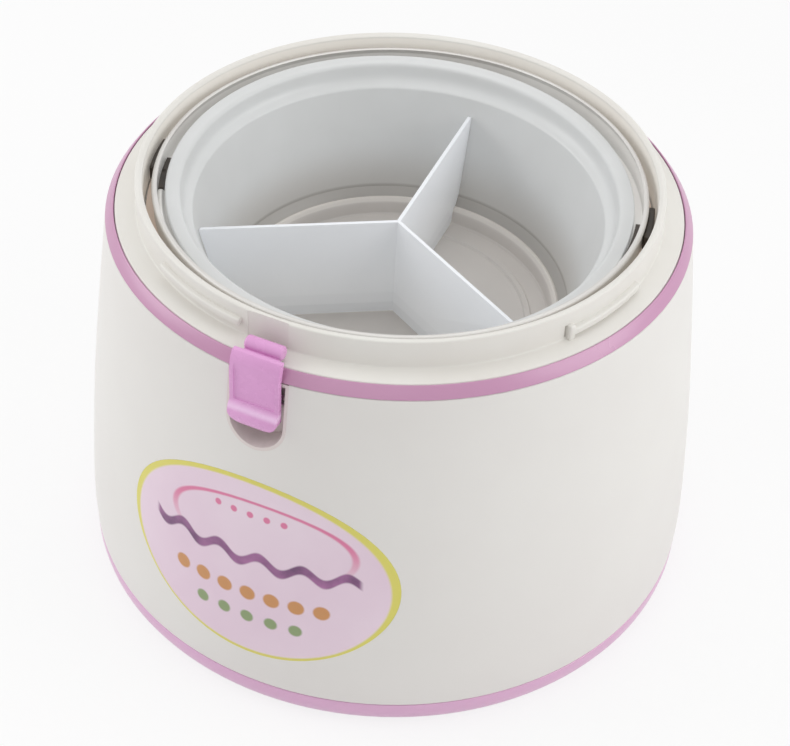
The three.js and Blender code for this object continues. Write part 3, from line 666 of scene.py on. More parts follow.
shell = {
    "foot": 14.0, "top": 181.2, "wall": 2.6, "edge": 0.6, "steps": 8,
    # radius at each height share from the seam to the trim band
    "radii": [(0, 141.3), (0.075, 141.75), (0.277, 140.3), (0.473, 138.0), (0.737, 133.6), (1, 128.6)],
    "seatDepth": 0.55, "seatGap": 0.05,
}
recess = {
    "halfWidth": 12.2, "top": 179.4, "bottom": 146.5, "back": 121.5, "wall": 1.5, "seam": 0.02,
    "rimRound": 0.9, "rimFrom": 125.5, "rimNear": 0.02,
}
label = {
    "halfArc": 67, "chord": 64.54, "halfHeight": 48.5, "height": 80.8, "proud": 0.1, "thickness": 0.6,
    "behind": 60,
}


def shellCurve():
    rise = shell["top"] - shell["foot"]
    return flowing([(r, shell["foot"] + rise * share) for share, r in shell["radii"]], shell["steps"])


def recessPrism(margin, near, far):
    # half a disc is cut from a round face, its cut edge is drawn up, and the face is thickened
    half = recess["halfWidth"] + margin
    middle = recess["bottom"] + recess["halfWidth"]
    startFresh()
    bpy.ops.mesh.primitive_circle_add(
        vertices=64, radius=half * mm, fill_type="NGON", rotation=(math.pi / 2, 0, 0),
        location=(0, -near * mm, middle * mm))
    obj = bpy.context.object
    settle(obj)
    editAll()
    bpy.ops.mesh.bisect(
        plane_co=(0, 0, middle * mm), plane_no=(0, 0, 1), clear_outer=True, clear_inner=False)
    pickVerts(obj, lambda co: abs(co.z - middle * mm) < samePlace)
    bpy.ops.mesh.extrude_region_move(
        TRANSFORM_OT_translate={"value": (0, 0, (recess["top"] + margin - middle) * mm)})
    return thickened(obj, (0, near - far, 0))


def labelPrism(margin, near, far):
    startFresh()
    bpy.ops.mesh.primitive_cylinder_add(
        vertices=96, radius=mm, depth=(far - near) * mm, rotation=(math.pi / 2, 0, 0),
        location=(0, -(near + far) / 2 * mm, label["height"] * mm))
    obj = bpy.context.object
    obj.scale = (label["chord"] + margin, label["halfHeight"] + margin, 1)
    settle(obj)
    return obj


def makeOuterShell():
    curve = shellCurve()
    obj = turnedPiece(curve + moved(curve, -shell["wall"])[::-4])
    bevelled(obj, shell["edge"])
    opening = recess["wall"] + recess["seam"]
    cutBy(obj, recessPrism(opening, recess["back"], farFront))
    side = recess["halfWidth"] + opening
    cutBy(obj, block((-side, -farFront, recess["top"]), (side, -recess["back"], shell["top"] + overrun)))
    seat = turnedPiece(moved(curve, overrun) + moved(curve, -shell["seatDepth"])[::-1])
    cutBy(obj, combined(seat, labelPrism(shell["seatGap"], label["behind"], farFront), "INTERSECT"))
    return dressed(obj, "outerShell", whiteShell, "housing", "outer_shell")


labelPrint = {
    "field": (0.76, 0.58, 0.70), "fieldPale": (0.84, 0.70, 0.79), "edge": (0.72, 0.66, 0.14),
    "loop": (0.72, 0.20, 0.36), "ribbon": (0.11, 0.04, 0.12), "ribbonPale": (0.42, 0.16, 0.36),
    # places and sizes are shares of the oval's half width and half height
    "aboutRadius": 140.5, "edgeFrom": (0.96, 0.012), "edgeLean": 0.006,
    "loopCentre": (0.06, 0.36), "loopSize": (0.66, 0.40), "loopLine": (0.035, 0.02),
    "loopFade": (0.3, 0.25),
    "ribbonHeight": 0.12, "ribbonWaves": 21, "ribbonSway": 0.055, "ribbonHalf": (0.05, 0.014),
    "ribbonReach": (0.76, 0.02),
    # height, pitch, dot's radius in pitches, how far the row reaches, colour
    "rows": [
        (-0.28, 0.17, 0.33, 0.60, (0.60, 0.28, 0.10)), (-0.56, 0.17, 0.27, 0.43, (0.26, 0.34, 0.16)),
        (0.62, 0.12, 0.20, 0.30, (0.72, 0.20, 0.36))],
    "dotSoft": 0.05, "rowSoft": 0.01,
    "fieldCloud": 14, "ribbonCloud": 90, "glossCloud": 30, "gloss": (0.3, 0.4),
    "grainScale": 600, "grain": 0.05, "grainDepth": 0.03,
}


def labelMaterial():
    # yellow edge, pale field, thin loop, ribbon and rows of dots, all drawn from the surface's place
    look = labelPrint
    material, tree, shader, place = newMaterial("printedLabel")
    x, y, z = axes(tree, place)

    def maths(operation, *values):
        return calculate(tree, operation, *values)

    def above(value, limit, soft):
        return smoothly(tree, value, limit - soft, limit + soft)

    def within(value, limit, soft):
        return inverse(tree, above(maths("ABSOLUTE", value), limit, soft))

    arc = maths("ARCTAN2", x, maths("MULTIPLY", y, -1))
    u = maths("MULTIPLY", arc, look["aboutRadius"] / label["halfArc"])
    v = maths("DIVIDE", maths("SUBTRACT", z, label["height"] * mm), label["halfHeight"] * mm)
    cloud = cloudOn(tree, place, look["fieldCloud"])
    colour = blendColours(tree, cloud, look["field"], look["fieldPale"])
    loopU, loopV = (maths("DIVIDE", maths("SUBTRACT", value, centre), size)
                    for value, centre, size in zip((u, v), look["loopCentre"], look["loopSize"]))
    loopLine = within(maths("SUBTRACT", length2(tree, loopU, loopV), 1), *look["loopLine"])
    colour = blendColours(tree, product(tree, loopLine, above(v, *look["loopFade"])), colour, look["loop"])
    sway = maths("MULTIPLY", maths("SINE", maths("MULTIPLY", u, look["ribbonWaves"])), look["ribbonSway"])
    fromRibbon = maths("SUBTRACT", maths("SUBTRACT", v, look["ribbonHeight"]), sway)
    ribbon = product(tree, within(fromRibbon, *look["ribbonHalf"]), within(u, *look["ribbonReach"]))
    cloud = cloudOn(tree, place, look["ribbonCloud"])
    ribbonColour = blendColours(tree, cloud, look["ribbon"], look["ribbonPale"])
    colour = blendColours(tree, ribbon, colour, ribbonColour)
    for height, pitch, size, reach, dotColour in look["rows"]:
        cell = maths("SUBTRACT", maths("FRACT", maths("ADD", maths("DIVIDE", u, pitch), 0.5)), 0.5)
        # a dot is as high as it is wide, though the oval is wider than high
        ovalShare = label["halfHeight"] / label["halfArc"]
        rise = maths("MULTIPLY", maths("SUBTRACT", v, height), ovalShare / pitch)
        dot = product(tree, within(length2(tree, cell, rise), size, look["dotSoft"]),
                      within(u, reach, look["rowSoft"]))
        colour = blendColours(tree, dot, colour, dotColour)
    # the edge is a little wider towards the upper right
    rim = maths("ADD", length2(tree, u, v), maths("MULTIPLY", maths("ADD", u, v), look["edgeLean"]))
    colour = blendColours(tree, above(rim, *look["edgeFrom"]), colour, look["edge"])
    gloss = between(tree, noiseOn(tree, place, look["glossCloud"]), *look["gloss"])
    surfaced(tree, shader, colour, gloss, grainOn(tree, place, look), look)
    return material


def makeLabel():
    curve = shellCurve()
    skin = turnedPiece(
        moved(curve, label["proud"]) + moved(curve, label["proud"] - label["thickness"])[::-1])
    obj = combined(skin, labelPrism(0, label["behind"], farFront), "INTERSECT")
    return dressed(obj, "labelPlate", labelMaterial(), "housing", "label_plate")


band = {
    "inner": 124.6, "foot": 181.5, "top": 186.3, "footRadius": 128.6, "topRadius": 125.1, "edge": 0.25,
}


def makeTrimBand():
    obj = turnedPiece([
        (band["inner"], band["foot"]), (band["footRadius"], band["foot"]),
        (band["topRadius"], band["top"]), (band["inner"], band["top"])])
    bevelled(obj, band["edge"])
    return dressed(obj, "trimBand", bandPink, "housing", "trim_band")


collar = {
    "neckInner": 111.7, "neckOuter": 115.0, "top": 200, "neckFoot": 186.8, "edgeRadius": 124.3,
    "edgeHeight": 186.3, "skirtFoot": 171.7, "skirtInner": 121.3, "ledgeRadius": 104.0,
    "ledgeTop": 181.4, "ledgeUnder": 179.0, "shoulderUnder": 182.3, "round": 1.1, "mouthRound": 1.7,
    "lugOut": 2.4, "lugIn": 1.6, "lugRound": 0.9, "lugStep": 2.5, "room": 0.5,
    "panelFrom": -12.2, "panelTo": 6.4, "panelDepth": 0.8, "stopIn": 0.6, "hair": 0.02,
    # from, to, top, height
    "lugs": [(238, 262.5, 194.8, 3.4), (331.5, 354, 191.8, 3.4)],
    "stop": (331.5, 333.1, 193.8),
    # low, high, radius it reaches in to, degrees wide
    "groove": (187.6, 193.4, 114.0, 0.55),
}


def lidLug(start, end, top, height):
    inner, outer = collar["neckOuter"] - collar["lugIn"], collar["neckOuter"] + collar["lugOut"]
    steps = max(2, round((end - start) / collar["lugStep"]))
    lug = sweptArc(oblong(inner, outer, top - height, top), start, end, steps)
    return bevelled(lug, collar["lugRound"], 4)


def makeNeckCollar():
    neckIn, neckOut = collar["neckInner"], collar["neckOuter"]
    top, foot, mouth = collar["top"], collar["neckFoot"], collar["mouthRound"]
    # skirt, shoulder, neck with its rounded mouth, and the ledge inside
    obj = turnedPiece([
        (collar["skirtInner"], collar["skirtFoot"]), (collar["edgeRadius"], collar["skirtFoot"]),
        (collar["edgeRadius"], collar["edgeHeight"]), (neckOut, foot),
        (neckOut, top), (neckIn + mouth, top), (neckIn + mouth * 0.45, top - mouth * 0.15),
        (neckIn + mouth * 0.12, top - mouth * 0.5), (neckIn, top - mouth), (neckIn, collar["ledgeTop"]),
        (collar["ledgeRadius"], collar["ledgeTop"]), (collar["ledgeRadius"], collar["ledgeUnder"]),
        (neckOut, collar["ledgeUnder"]), (neckOut, collar["shoulderUnder"]),
        (collar["skirtInner"], collar["shoulderUnder"])])
    bevelled(obj, collar["round"], 4)
    cutBy(obj, block(
        (collar["panelFrom"], -neckOut - overrun, foot + collar["hair"]),
        (collar["panelTo"], -neckOut + collar["panelDepth"], top + overrun)))
    for lug in collar["lugs"]:
        joinedWith(obj, lidLug(*lug))
    start, end, stopTop = collar["stop"]
    joinedWith(obj, lidLug(start, end, stopTop, stopTop - foot + collar["stopIn"]))
    low, high, near, wide = collar["groove"]
    groove = oblong(near, neckOut + overrun, low, high)
    cutBy(obj, sweptArc(groove, start - wide, start - collar["hair"], 2))
    # the skirt leaves room for the tub of the recess
    side = recess["halfWidth"] + recess["wall"] + collar["room"]
    cutBy(obj, block(
        (-side, -farFront, collar["skirtFoot"] - overrun),
        (side, -recess["back"] + recess["wall"] + collar["room"], collar["shoulderUnder"])))
    return dressed(obj, "neckCollar", creamCollar, "housing", "neck_collar")


base = {
    "inner": 128.5, "foot": 0.8, "seam": 13.7, "seamRadius": 141.3, "ledgeRadius": 118.0,
    "ledgeUnder": 5.9, "ledgeTop": 9.5, "spigotOuter": 138.2, "spigotInner": 135.7, "spigotTop": 20.5,
    # rounded lower corner
    "corner": [(132.8, 0.8), (134.9, 1.05), (137.2, 1.9), (139.2, 3.6), (140.5, 6.0), (141.1, 8.8)],
    "edge": 0.5, "screwCircle": 123.25, "screwCount": 4, "screwHole": 1.8,
}


def screwTurns():
    return [45 + 360 / base["screwCount"] * i for i in range(base["screwCount"])]


def screwHoles(obj, low, high):
    # low and high are the two faces of the wall
    for turn in screwTurns():
        places = [onCircle(base["screwCircle"], turn, height) for height in (low - overrun, high + overrun)]
        cutBy(obj, rod(*places, base["screwHole"]))


def makeBaseRing():
    obj = turnedPiece([
        (base["inner"], base["foot"]), *base["corner"], (base["seamRadius"], base["seam"]),
        (base["spigotOuter"], base["seam"]), (base["spigotOuter"], base["spigotTop"]),
        (base["spigotInner"], base["spigotTop"]), (base["spigotInner"], base["ledgeTop"]),
        (base["ledgeRadius"], base["ledgeTop"]), (base["ledgeRadius"], base["ledgeUnder"]),
        (base["inner"], base["ledgeUnder"])])
    bevelled(obj, base["edge"], 3, 40)
    screwHoles(obj, base["ledgeUnder"], base["ledgeTop"])
    return dressed(obj, "baseRing", basePink, "housing", "base_ring")


cover = {
    "low": 3.2, "high": 5.6, "radius": 128.2, "edge": 0.4,
    # two shallow stepped rings stiffen the plate
    "rings": [(20, 0), (22, 0.8), (60, 0.8), (62, 0), (84, 0), (86, 0.8), (90, 0.8), (92, 0)],
    "footCircle": 104.0, "footEdge": 0.2,
    "footOutline": [(5.2, 0.45), (6.0, 0.0), (8.4, 0.0), (9.0, 0.6), (8.8, 2.9)],
    "headRadius": 3.1, "headTop": 2.9, "headHeight": 1.1, "shaftRadius": 1.5, "shaftTop": 9.2,
    "slotLong": 1.6, "slotHalf": 0.3, "slotDepth": 0.6,
}


def makeBottomCover():
    low, high = cover["low"], cover["high"]
    rings = [(radius, low + rise) for radius, rise in cover["rings"]]
    obj = turnedPiece([*rings, (cover["radius"], low), (cover["radius"], high)], solidEnds=True)
    bevelled(obj, cover["edge"], 2, 35)
    screwHoles(obj, low, high)
    return dressed(obj, "bottomCover", whiteShell, "housing", "bottom_cover")


def makeFeet():
    first = turnedPiece(cover["footOutline"], smallRound, solidEnds=True)
    bevelled(first, cover["footEdge"], 2)
    places = [onCircle(cover["footCircle"], 90 * i, 0) for i in range(4)]
    numberedCopies(first, places, "foot", siliconeRubber, "foot")


def makeBaseScrews():
    headTop, shaftTop = cover["headTop"], cover["shaftTop"]
    headRadius, shaftRadius = cover["headRadius"], cover["shaftRadius"]
    headLow = headTop - cover["headHeight"]
    first = turnedPiece([
        (headRadius - 1.2, headLow), (headRadius - 0.4, headLow + 0.15), (headRadius, headLow + 0.6),
        (headRadius, headTop), (shaftRadius, headTop), (shaftRadius, shaftTop - 1), (0.5, shaftTop)],
        24, solidEnds=True)
    long, half = cover["slotLong"], cover["slotHalf"]
    for x, y in ((long, half), (half, long)):
        cutBy(first, block((-x, -y, headLow - overrun), (x, y, headLow + cover["slotDepth"])))
    places = [onCircle(base["screwCircle"], turn, 0) for turn in screwTurns()]
    numberedCopies(first, places, "baseScrew", fastenerSteel, "base_screw")


inside = {
    "foamFoot": 9.8, "foamStep": 20.9, "foamInner": 102.4, "foamFootRadius": 135.3, "foamGap": 3.1,
    "foamTop": 171.2, "linerFoot": 13.9, "linerOuter": 102.0, "linerInner": 101.0,
    "flangeUnder": 181.7, "flangeTop": 182.7, "flangeRadius": 111.2, "corner": 6.0, "tubRoom": 0.4,
    "baseRoom": 0.3, "foamRound": 0.8, "linerRound": 0.35, "gasketRound": 0.3, "restRound": 0.8,
    # inner and outer radius, low, high
    "gasket": (102.7, 110.7, 183.0, 184.0), "rest": (58.0, 76.0, 15.2, 18.2),
}


def makeFoamBase():
    wide, top = inside["foamFootRadius"], inside["linerFoot"] - inside["baseRoom"]
    obj = turnedPiece([(wide, inside["foamFoot"]), (wide, top)], solidEnds=True)
    bevelled(obj, inside["foamRound"])
    return dressed(obj, "foamBase", insulatingFoam, "housing", "foam_base")


def makeFoamJacket():
    wide, foot = inside["foamFootRadius"], inside["linerFoot"]
    outer = [(r - inside["foamGap"], z) for r, z in shellCurve()
             if inside["foamStep"] < z < inside["foamTop"]]
    obj = turnedPiece([
        (inside["foamInner"], foot), (wide, foot), (wide, inside["foamStep"]), *outer,
        (inside["foamInner"], inside["foamTop"])])
    margin = recess["wall"] + inside["tubRoom"]
    cutBy(obj, recessPrism(margin, recess["back"] - margin, farFront))
    return dressed(obj, "foamJacket", insulatingFoam, "housing", "foam_jacket")


def makeLiner():
    outer, inner, foot = inside["linerOuter"], inside["linerInner"], inside["linerFoot"]
    corner = inside["corner"]
    under, top, rim = inside["flangeUnder"], inside["flangeTop"], inside["flangeRadius"]
    obj = turnedPiece([
        (outer - corner, foot), (outer - 1.8, foot + 1.8), (outer, foot + corner), (outer, under),
        (rim, under), (rim, top), (inner, top), (inner, foot + corner + 0.5),
        (inner - 1.7, foot + 2.7), (outer - corner - 0.5, foot + 1)], solidEnds=True)
    bevelled(obj, inside["linerRound"], 3, 40)
    return dressed(obj, "liner", potSteel, "housing", "liner")


def makeLinerGasket():
    obj = bevelled(turnedPiece(oblong(*inside["gasket"])), inside["gasketRound"])
    return dressed(obj, "linerGasket", gasketSilicone, "housing", "liner_gasket")


def makePotRest():
    obj = bevelled(turnedPiece(oblong(*inside["rest"]), 96), inside["restRound"])
    return dressed(obj, "potRest", siliconeRubber, "housing", "pot_rest")


def roundedRim(tub):
    # the tub's inner front edge is picked by its outline and rounded
    half, middle = recess["halfWidth"], recess["bottom"] + recess["halfWidth"]
    near = recess["rimNear"]

    def onOutline(co):
        x, z = co.x / mm, co.z / mm
        if math.hypot(x, co.y / mm) <= recess["rimFrom"]:
            return False
        if z < middle:
            return abs(math.hypot(x, z - middle) - half) < near
        return abs(abs(x) - half) < near or abs(z - recess["top"]) < near

    pickVerts(tub, onOutline)
    bpy.ops.mesh.select_mode(type="EDGE")
    bpy.ops.mesh.bevel(offset=recess["rimRound"] * mm, segments=4, clamp_overlap=True)
    faceOutwards()


def makeRecessTub():
    # the tub follows the body's outline in front and is open there
    wall, back = recess["wall"], recess["back"]
    body = turnedPiece(shellCurve(), solidEnds=True)
    tub = combined(recessPrism(wall, back - wall, farFront), body, "INTERSECT")
    cutBy(tub, recessPrism(0, back, farFront))
    roundedRim(tub)
    cutBy(tub, alongPin(lever["pinHalf"] + overrun, lever["pinRadius"] + lever["pinRoom"]))
    return dressed(tub, "latchPocket", recessPlastic, "housing", "latch_pocket")


lever = {
    "width": 22.2, "outer": 132.0, "inner": 129.4, "top": 191.3, "ledge": 167.1, "bottom": 157.0,
    "lip": 134.5, "lipRound": 6.0, "lean": 2.4, "leanFrom": 182.5, "edge": 0.5,
    "panelHalf": 9.3, "panelLow": 168.3, "panelHigh": 190.0, "panelDepth": 0.7, "panelRound": 0.5,
    "roll": (122.0, 191.0), "rollRadius": 3.1, "rollWidth": 17.0, "rollEdge": 1.2,
    "armInset": 1.4, "armLow": 188.3, "armHigh": 190.1, "sunk": 1.0,
    "pivot": (125.0, 168.0), "pinRadius": 1.1, "pinHalf": 13.4, "earRadius": 3.1, "earInset": 3.0,
    "earThickness": 3.0, "pinRoom": 0.3, "pinRound": 0.25,
    # what rounds the lip reaches from behind the plate to well in front of it
    "mask": (123.4, 141.4), "maskRise": 1.0,
}


def acrossLatch(points, width, centre=0.0):
    obj = tracedFace([(centre - width / 2, -front, z) for front, z in points])
    return thickened(obj, (width, 0, 0))


def leverPlate():
    # the profile leans in at the top and flares out to a finger lip at the bottom
    outer, inner, top = lever["outer"], lever["inner"], lever["top"]
    ledge, bottom, lip, lean = lever["ledge"], lever["bottom"], lever["lip"], lever["lean"]
    plate = acrossLatch([
        (inner, bottom + 2.6), (inner + 0.3, bottom + 1.0), (inner + 1.1, bottom + 0.1),
        (lip - 1.9, bottom + 0.1), (lip - 0.9, bottom + 0.7), (lip - 0.2, bottom + 2.0),
        (lip, bottom + 3.8), (lip - 0.1, bottom + 5.6), (lip - 0.4, bottom + 7.6),
        (lip - 0.9, ledge - 1.1), (outer + 0.9, ledge - 0.3), (outer + 0.3, ledge + 0.15),
        (outer, ledge + 0.8), (outer, lever["leanFrom"]),
        (outer - 0.4, lever["leanFrom"] + 2.6), (outer - 1.3, top - 2.4), (outer - lean, top - 0.7),
        (outer - lean - 0.6, top - 0.1), (outer - lean - 1.5, top), (inner - lean, top),
        (inner, lever["leanFrom"])], lever["width"])
    # the lip is half an ellipse as seen from the front
    half, drop = lever["width"] / 2, lever["lipRound"]
    curve = [(half * x, bottom + drop + drop * z) for x, z in arcPoints((0, 0), 1, 180, 360, 24)]
    highest = top + lever["maskRise"]
    near, far = lever["mask"]
    behind = tracedFace([(x, -near, z) for x, z in ((half, highest), (-half, highest), *curve)])
    mask = thickened(behind, (0, near - far, 0))
    combined(plate, mask, "INTERSECT")
    bevelled(plate, lever["edge"], 3, 34)
    panel = block((-lever["panelHalf"], -outer - overrun, lever["panelLow"]),
                  (lever["panelHalf"], lever["panelDepth"] - outer, lever["panelHigh"]))
    return cutBy(plate, bevelled(panel, lever["panelRound"], 3))


def leverEars():
    front, height = lever["pivot"]
    inner, ear = lever["inner"] + lever["sunk"], lever["earRadius"]
    outline = [(inner, height + ear), *arcPoints((front, height), ear, 90, 270, 12), (inner, height - ear)]
    aside = lever["width"] / 2 - lever["earInset"] - lever["earThickness"] / 2
    return [acrossLatch(outline, lever["earThickness"], side * aside) for side in (-1, 1)]


def alongPin(half, radius, segments=smallRound):
    front, height = lever["pivot"]
    return rod((-half, -front, height), (half, -front, height), radius, segments)


def makeLatchLever():
    plate = leverPlate()
    front, height = lever["roll"]
    half = lever["rollWidth"] / 2
    roll = rod((-half, -front, height), (half, -front, height), lever["rollRadius"], 40)
    bevelled(roll, lever["rollEdge"], 4, 40)
    armEnd = lever["outer"] - lever["lean"] - lever["sunk"]
    armWidth = lever["rollWidth"] - lever["armInset"]
    arm = acrossLatch(oblong(front, armEnd, lever["armLow"], lever["armHigh"]), armWidth)
    for part in (roll, arm, *leverEars()):
        joinedWith(plate, part)
    cutBy(plate, alongPin(lever["pinHalf"], lever["pinRadius"] + lever["pinRoom"]))
    return dressed(plate, "latchLever", latchPink, "latch", "latch_lever")


def makeLatchPin():
    obj = bevelled(alongPin(lever["pinHalf"], lever["pinRadius"], 24), lever["pinRound"])
    return dressed(obj, "latchPin", fastenerSteel, "housing", "latch_pin")


spring = {
    "height": 161.6, "radius": 2.2, "wire": 0.35, "turns": 4, "from": 122.15, "to": 128.75,
    "sides": 10, "stepsPerTurn": 24, "pressedShare": 0.66,
}


def makeLatchSpring():
    startFresh()
    bpy.ops.mesh.primitive_circle_add(
        vertices=spring["sides"], radius=spring["wire"] * mm, fill_type="NOTHING",
        location=(spring["radius"] * mm, 0, 0), rotation=(math.pi / 2, 0, 0))
    coil = bpy.context.object
    settle(coil)
    wind = coil.modifiers.new("wind", "SCREW")
    wind.axis = "Z"
    wind.iterations = spring["turns"]
    wind.screw_offset = (spring["to"] - spring["from"]) / spring["turns"] * mm
    wind.steps = wind.render_steps = spring["stepsPerTurn"]
    bpy.ops.object.modifier_apply(modifier=wind.name)
    editAll()
    bpy.ops.mesh.fill_holes(sides=0)
    faceOutwards()
    back = Vector((0, -spring["from"], spring["height"])) * mm
    coil.matrix_world = Matrix.Translation(back) @ Matrix.Rotation(math.pi / 2, 4, "X")
    dressed(coil, "latchSpring", fastenerSteel, "housing", "latch_spring")
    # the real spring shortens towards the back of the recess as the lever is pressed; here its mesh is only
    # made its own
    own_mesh(coil)


vessel = {
    "radius": 98.6, "inner": 97.6, "floor": 18.5, "corner": 9.0, "innerCorner": 8.4, "seat": 184.3,
    "seatRadius": 106.4, "upstandTop": 193.3, "bead": 108.0, "rim": 196.3, "wall": 1.0,
}
bail = {
    "axisTurn": 15, "height": 187.7, "radius": 104.3, "wire": 1.5, "wireFrom": 12.35,
    "endHalf": 2.0, "endThickness": 2.4, "endReach": 12.2, "endRound": 0.6,
    "pinRadius": 1.1, "pinRoom": 0.3, "pinIn": 103.1, "headRadius": 1.8, "headIn": 109.6,
    "headOut": 110.4, "headRound": 0.25, "past": 1.0,
    "earIn": 107.7, "earOut": 110.8, "earLow": 185.3, "earHigh": 192.1, "earHalfTurn": 5.9, "earRound": 0.7,
}


def bailSpoke(turn, near, far, radius, segments=smallRound):
    return spoke(turn, near, far, bail["height"], radius, segments)


def bailHole(obj, turn, near, far, around="pinRadius"):
    return cutBy(obj, bailSpoke(turn, near, far, bail[around] + bail["pinRoom"]))


def makePot():
    r, inner, floor, corner = vessel["radius"], vessel["inner"], vessel["floor"], vessel["corner"]
    seat, seatRadius, wall = vessel["seat"], vessel["seatRadius"], vessel["wall"]
    up, bead, rim = vessel["upstandTop"], vessel["bead"], vessel["rim"]
    small, beadRadius = vessel["innerCorner"], (rim - up) / 2
    obj = turnedPiece([
        *arcPoints((r - corner, floor + corner), corner, -90, 0, 8), (r, seat),
        (seatRadius - 0.4, seat), (seatRadius + 0.7, seat + 0.3), (seatRadius + wall, seat + 1.4),
        (seatRadius + wall, up - 0.3),
        *arcPoints((bead - beadRadius, up + beadRadius), beadRadius, -72, 126, 10),
        (seatRadius, up + 0.6), (seatRadius, seat + 2.2), (seatRadius - 0.4, seat + 1.3),
        (seatRadius - 1.4, seat + wall), (inner + 0.5, seat + wall), (inner, seat + wall - 0.5),
        *arcPoints((inner - small, floor + wall + small), small, 0, -90, 8)], solidEnds=True)
    for turn in (bail["axisTurn"], bail["axisTurn"] + 180):
        bailHole(obj, turn, bail["radius"] - bail["past"], bail["headOut"] + bail["past"])
    return dressed(obj, "pot", potSteel, "pot", "pot")


def makeBailPin(turn, name):
    far = bail["headOut"]
    pin = bailSpoke(turn, bail["pinIn"], far, bail["pinRadius"], 20)
    head = bevelled(bailSpoke(turn, bail["headIn"], far, bail["headRadius"], 24), bail["headRound"])
    joinedWith(pin, head)
    return dressed(pin, f"bailPin_{name}", fastenerSteel, "pot", f"bail_pin_{name}")


def makeBailEar(turn, name):
    # the plate outside the rim that the pin's head is sunk in
    near, far = bail["earIn"], bail["earOut"]
    ear = sweptArc(oblong(near, far, bail["earLow"], bail["earHigh"]),
                   turn - bail["earHalfTurn"], turn + bail["earHalfTurn"], 12)
    bevelled(ear, bail["earRound"], 3)
    past = far + bail["past"]
    bailHole(ear, turn, near - bail["past"], past)
    bailHole(ear, turn, bail["headIn"] - bail["pinRoom"], past, "headRadius")
    return dressed(ear, f"bailEar_{name}", darkFitting, "pot", f"bail_ear_{name}")


def makeBailEnd(turn, name):
    # the end piece lies towards the front of the rim
    height, half = bail["height"], bail["endHalf"]
    near, far = (bail["radius"] + side * bail["endThickness"] / 2 for side in (-1, 1))
    first, last = (turn, turn + bail["endReach"]) if name == "left" else (turn - bail["endReach"], turn)
    end = sweptArc(oblong(near, far, height - half, height + half), first, last, 16)
    joinedWith(end, bailSpoke(turn, near, far, half))
    bevelled(end, bail["endRound"], 3)
    bailHole(end, turn, near - overrun, far + overrun)
    return dressed(end, f"bailEnd_{name}", darkFitting, "bail", f"bail_end_{name}")


def makeBailWire():
    section = arcPoints((bail["radius"], bail["height"]), bail["wire"], 0, 360, 16)[:-1]
    first, last = bail["axisTurn"] - 180 + bail["wireFrom"], bail["axisTurn"] - bail["wireFrom"]
    wire = sweptArc(section, first, last, 72)
    return dressed(wire, "bailWire", bailSteel, "bail", "bail_wire")


def makeBail():
    for side, name in ((180, "left"), (0, "right")):
        for make in (makeBailPin, makeBailEar, makeBailEnd):
            make(bail["axisTurn"] + side, name)
    makeBailWire()


vanes = {"angles": (93.5, 213, 332.5), "wall": 1.6, "top": 18.3, "gap": 0.5, "edge": 0.6}


def setAskew(obj):
    lean = Matrix.Rotation(math.radians(dish["tilt"]), 4, tiltAxis())
    obj.matrix_world = Matrix.Translation((0, 0, dish["lipHeight"] * mm)) @ lean
    return obj


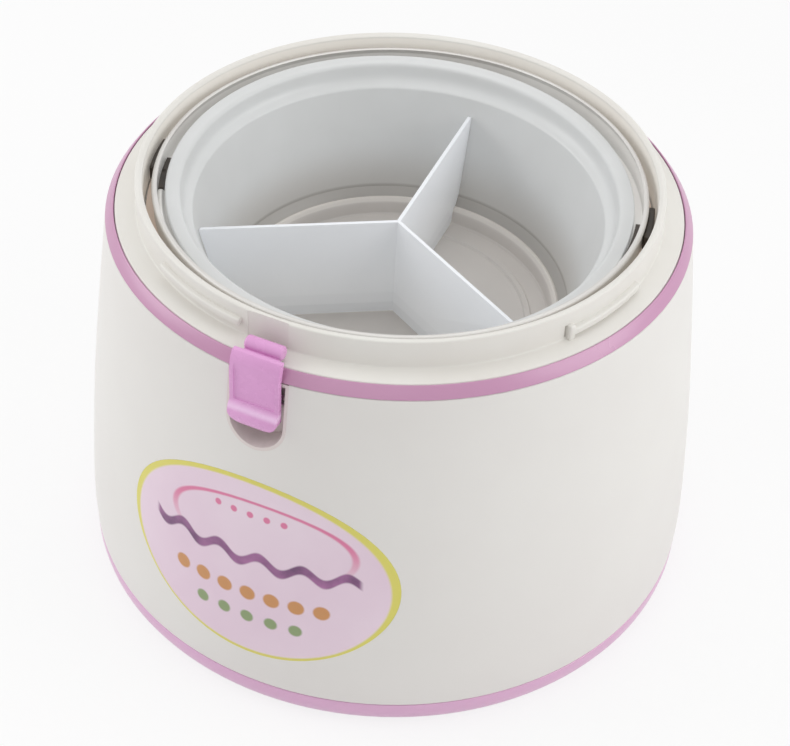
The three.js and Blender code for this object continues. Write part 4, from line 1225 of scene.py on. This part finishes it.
def makeTray():
    wall, skirt, lip = dish["wall"], dish["skirt"], dish["lip"]
    mouth, step, floor = dish["mouth"], dish["step"], dish["floor"]
    mouthZ, stepZ, floorZ = -dish["mouthDepth"], -dish["stepDepth"], -dish["floorDepth"]
    shelfLow = stepZ - dish["shelfFall"]
    ringIn, ringOut = dish["ringFrom"], dish["ringTo"]
    bead, beadHalf, beadTop = dish["beadRadius"], dish["beadHalf"], shelfLow + dish["beadHeight"]
    obj = turnedPiece([
        (ringIn, floorZ - wall), (floor + 0.9, floorZ - wall), (floor + wall, floorZ - wall + 0.9),
        (floor + 2.5, shelfLow - wall - 0.6), (floor + 3.4, shelfLow - wall), (step, stepZ - wall),
        (step + 1.2, stepZ - wall + 0.6), (step + wall, stepZ + 0.6), (mouth + wall, mouthZ - 0.4),
        (mouth + wall + 0.6, mouthZ + 0.3), (skirt - 2.6, mouthZ + 1.4), (skirt - 0.9, mouthZ + 2.4),
        (skirt, mouthZ + 4.6), (skirt, -2.0), (skirt + 0.4, -1.7), (lip - 0.4, -1.7), (lip, -1.3),
        (lip, -0.4), (lip - 0.5, 0), (skirt + 0.6, 0), (skirt - 0.5, -0.2), (skirt - 1.2, -0.8),
        (skirt - 1.6, -1.8), (skirt - 1.8, -3.4),
        (skirt - 2.2, mouthZ + 5.0), (skirt - 2.7, mouthZ + 3.4), (skirt - 3.6, mouthZ + 2.2),
        (mouth + 1.2, mouthZ + 0.9), (mouth + 0.4, mouthZ + 0.5), (mouth, mouthZ - 0.1),
        (mouth - 0.1, mouthZ - 0.6), (step, stepZ + wall + 1.0), (step - 0.5, stepZ + 0.5),
        (step - wall, stepZ - 0.3), (bead + beadHalf, shelfLow), (bead + beadHalf * 0.5, beadTop - 0.1),
        (bead, beadTop), (bead - beadHalf * 0.6, beadTop - 0.2), (bead - beadHalf, shelfLow - 0.3),
        (floor + 0.7, shelfLow - 1.3), (floor + 0.3, shelfLow - 2.4),
        (floor - 0.2, floorZ + 0.9), (floor - 0.9, floorZ + 0.1), (floor - 1.8, floorZ),
        (ringOut + 0.8, floorZ), (ringOut, floorZ + dish["ringHeight"]),
        (ringIn + 0.8, floorZ + dish["ringHeight"]), (ringIn, floorZ)], 160, solidEnds=True)
    return dressed(setAskew(obj), "tray", trayMilky, "tray", "tray")


def makeDivider():
    gap, wall = vanes["gap"], vanes["wall"]
    top, stepZ, floorZ = -vanes["top"], -dish["stepDepth"], -dish["floorDepth"]
    shelfLow, bead = stepZ - dish["shelfFall"], dish["beadRadius"]
    step, floor, foot = dish["step"], dish["floor"], floorZ + gap + dish["ringHeight"]
    # the vane's top end stays clear of the sloping wall
    share = (top - stepZ) / (-dish["mouthDepth"] - stepZ)
    topRadius = step + (dish["mouth"] - step) * share - gap - 0.3
    outline = [
        (0, foot), (floor - gap - 2.5, foot), (floor - gap - 0.6, floorZ + gap + 2.4),
        (floor - gap, shelfLow - 1.6), (floor + 0.8, shelfLow + 1.1), (bead + 1, shelfLow + 1.2),
        (step - 2.6, stepZ + gap), (step - gap - 0.3, stepZ + 3.2), (topRadius, top - 1.2),
        (topRadius - 0.4, top - 0.3), (topRadius - 1.2, top), (0, top)]
    whole = None
    for angle in vanes["angles"]:
        vane = thickened(tracedFace([(r, -wall / 2, z) for r, z in outline]), (0, wall, 0))
        vane.data.transform(Matrix.Rotation(math.radians(angle), 4, "Z"))
        whole = joinedWith(whole, vane) if whole else vane
    bevelled(whole, vanes["edge"], 3, 40)
    return dressed(setAskew(whole), "divider", dividerMilky, "divider", "divider")


stages = {
    "casing": [makeOuterShell, makeLabel, makeTrimBand, makeNeckCollar, makeBaseRing, makeBottomCover,
               makeFeet, makeBaseScrews],
    "inside": [makeFoamBase, makeFoamJacket, makeLiner, makeLinerGasket, makePotRest, makeRecessTub],
    "latch": [makeLatchLever, makeLatchPin, makeLatchSpring],
    "pot": [makePot, makeBail],
    "tray": [makeTray, makeDivider],
}
for stage, makers in stages.items():
    for make in makers:
        make()
    print(stage, "made")

startFresh()
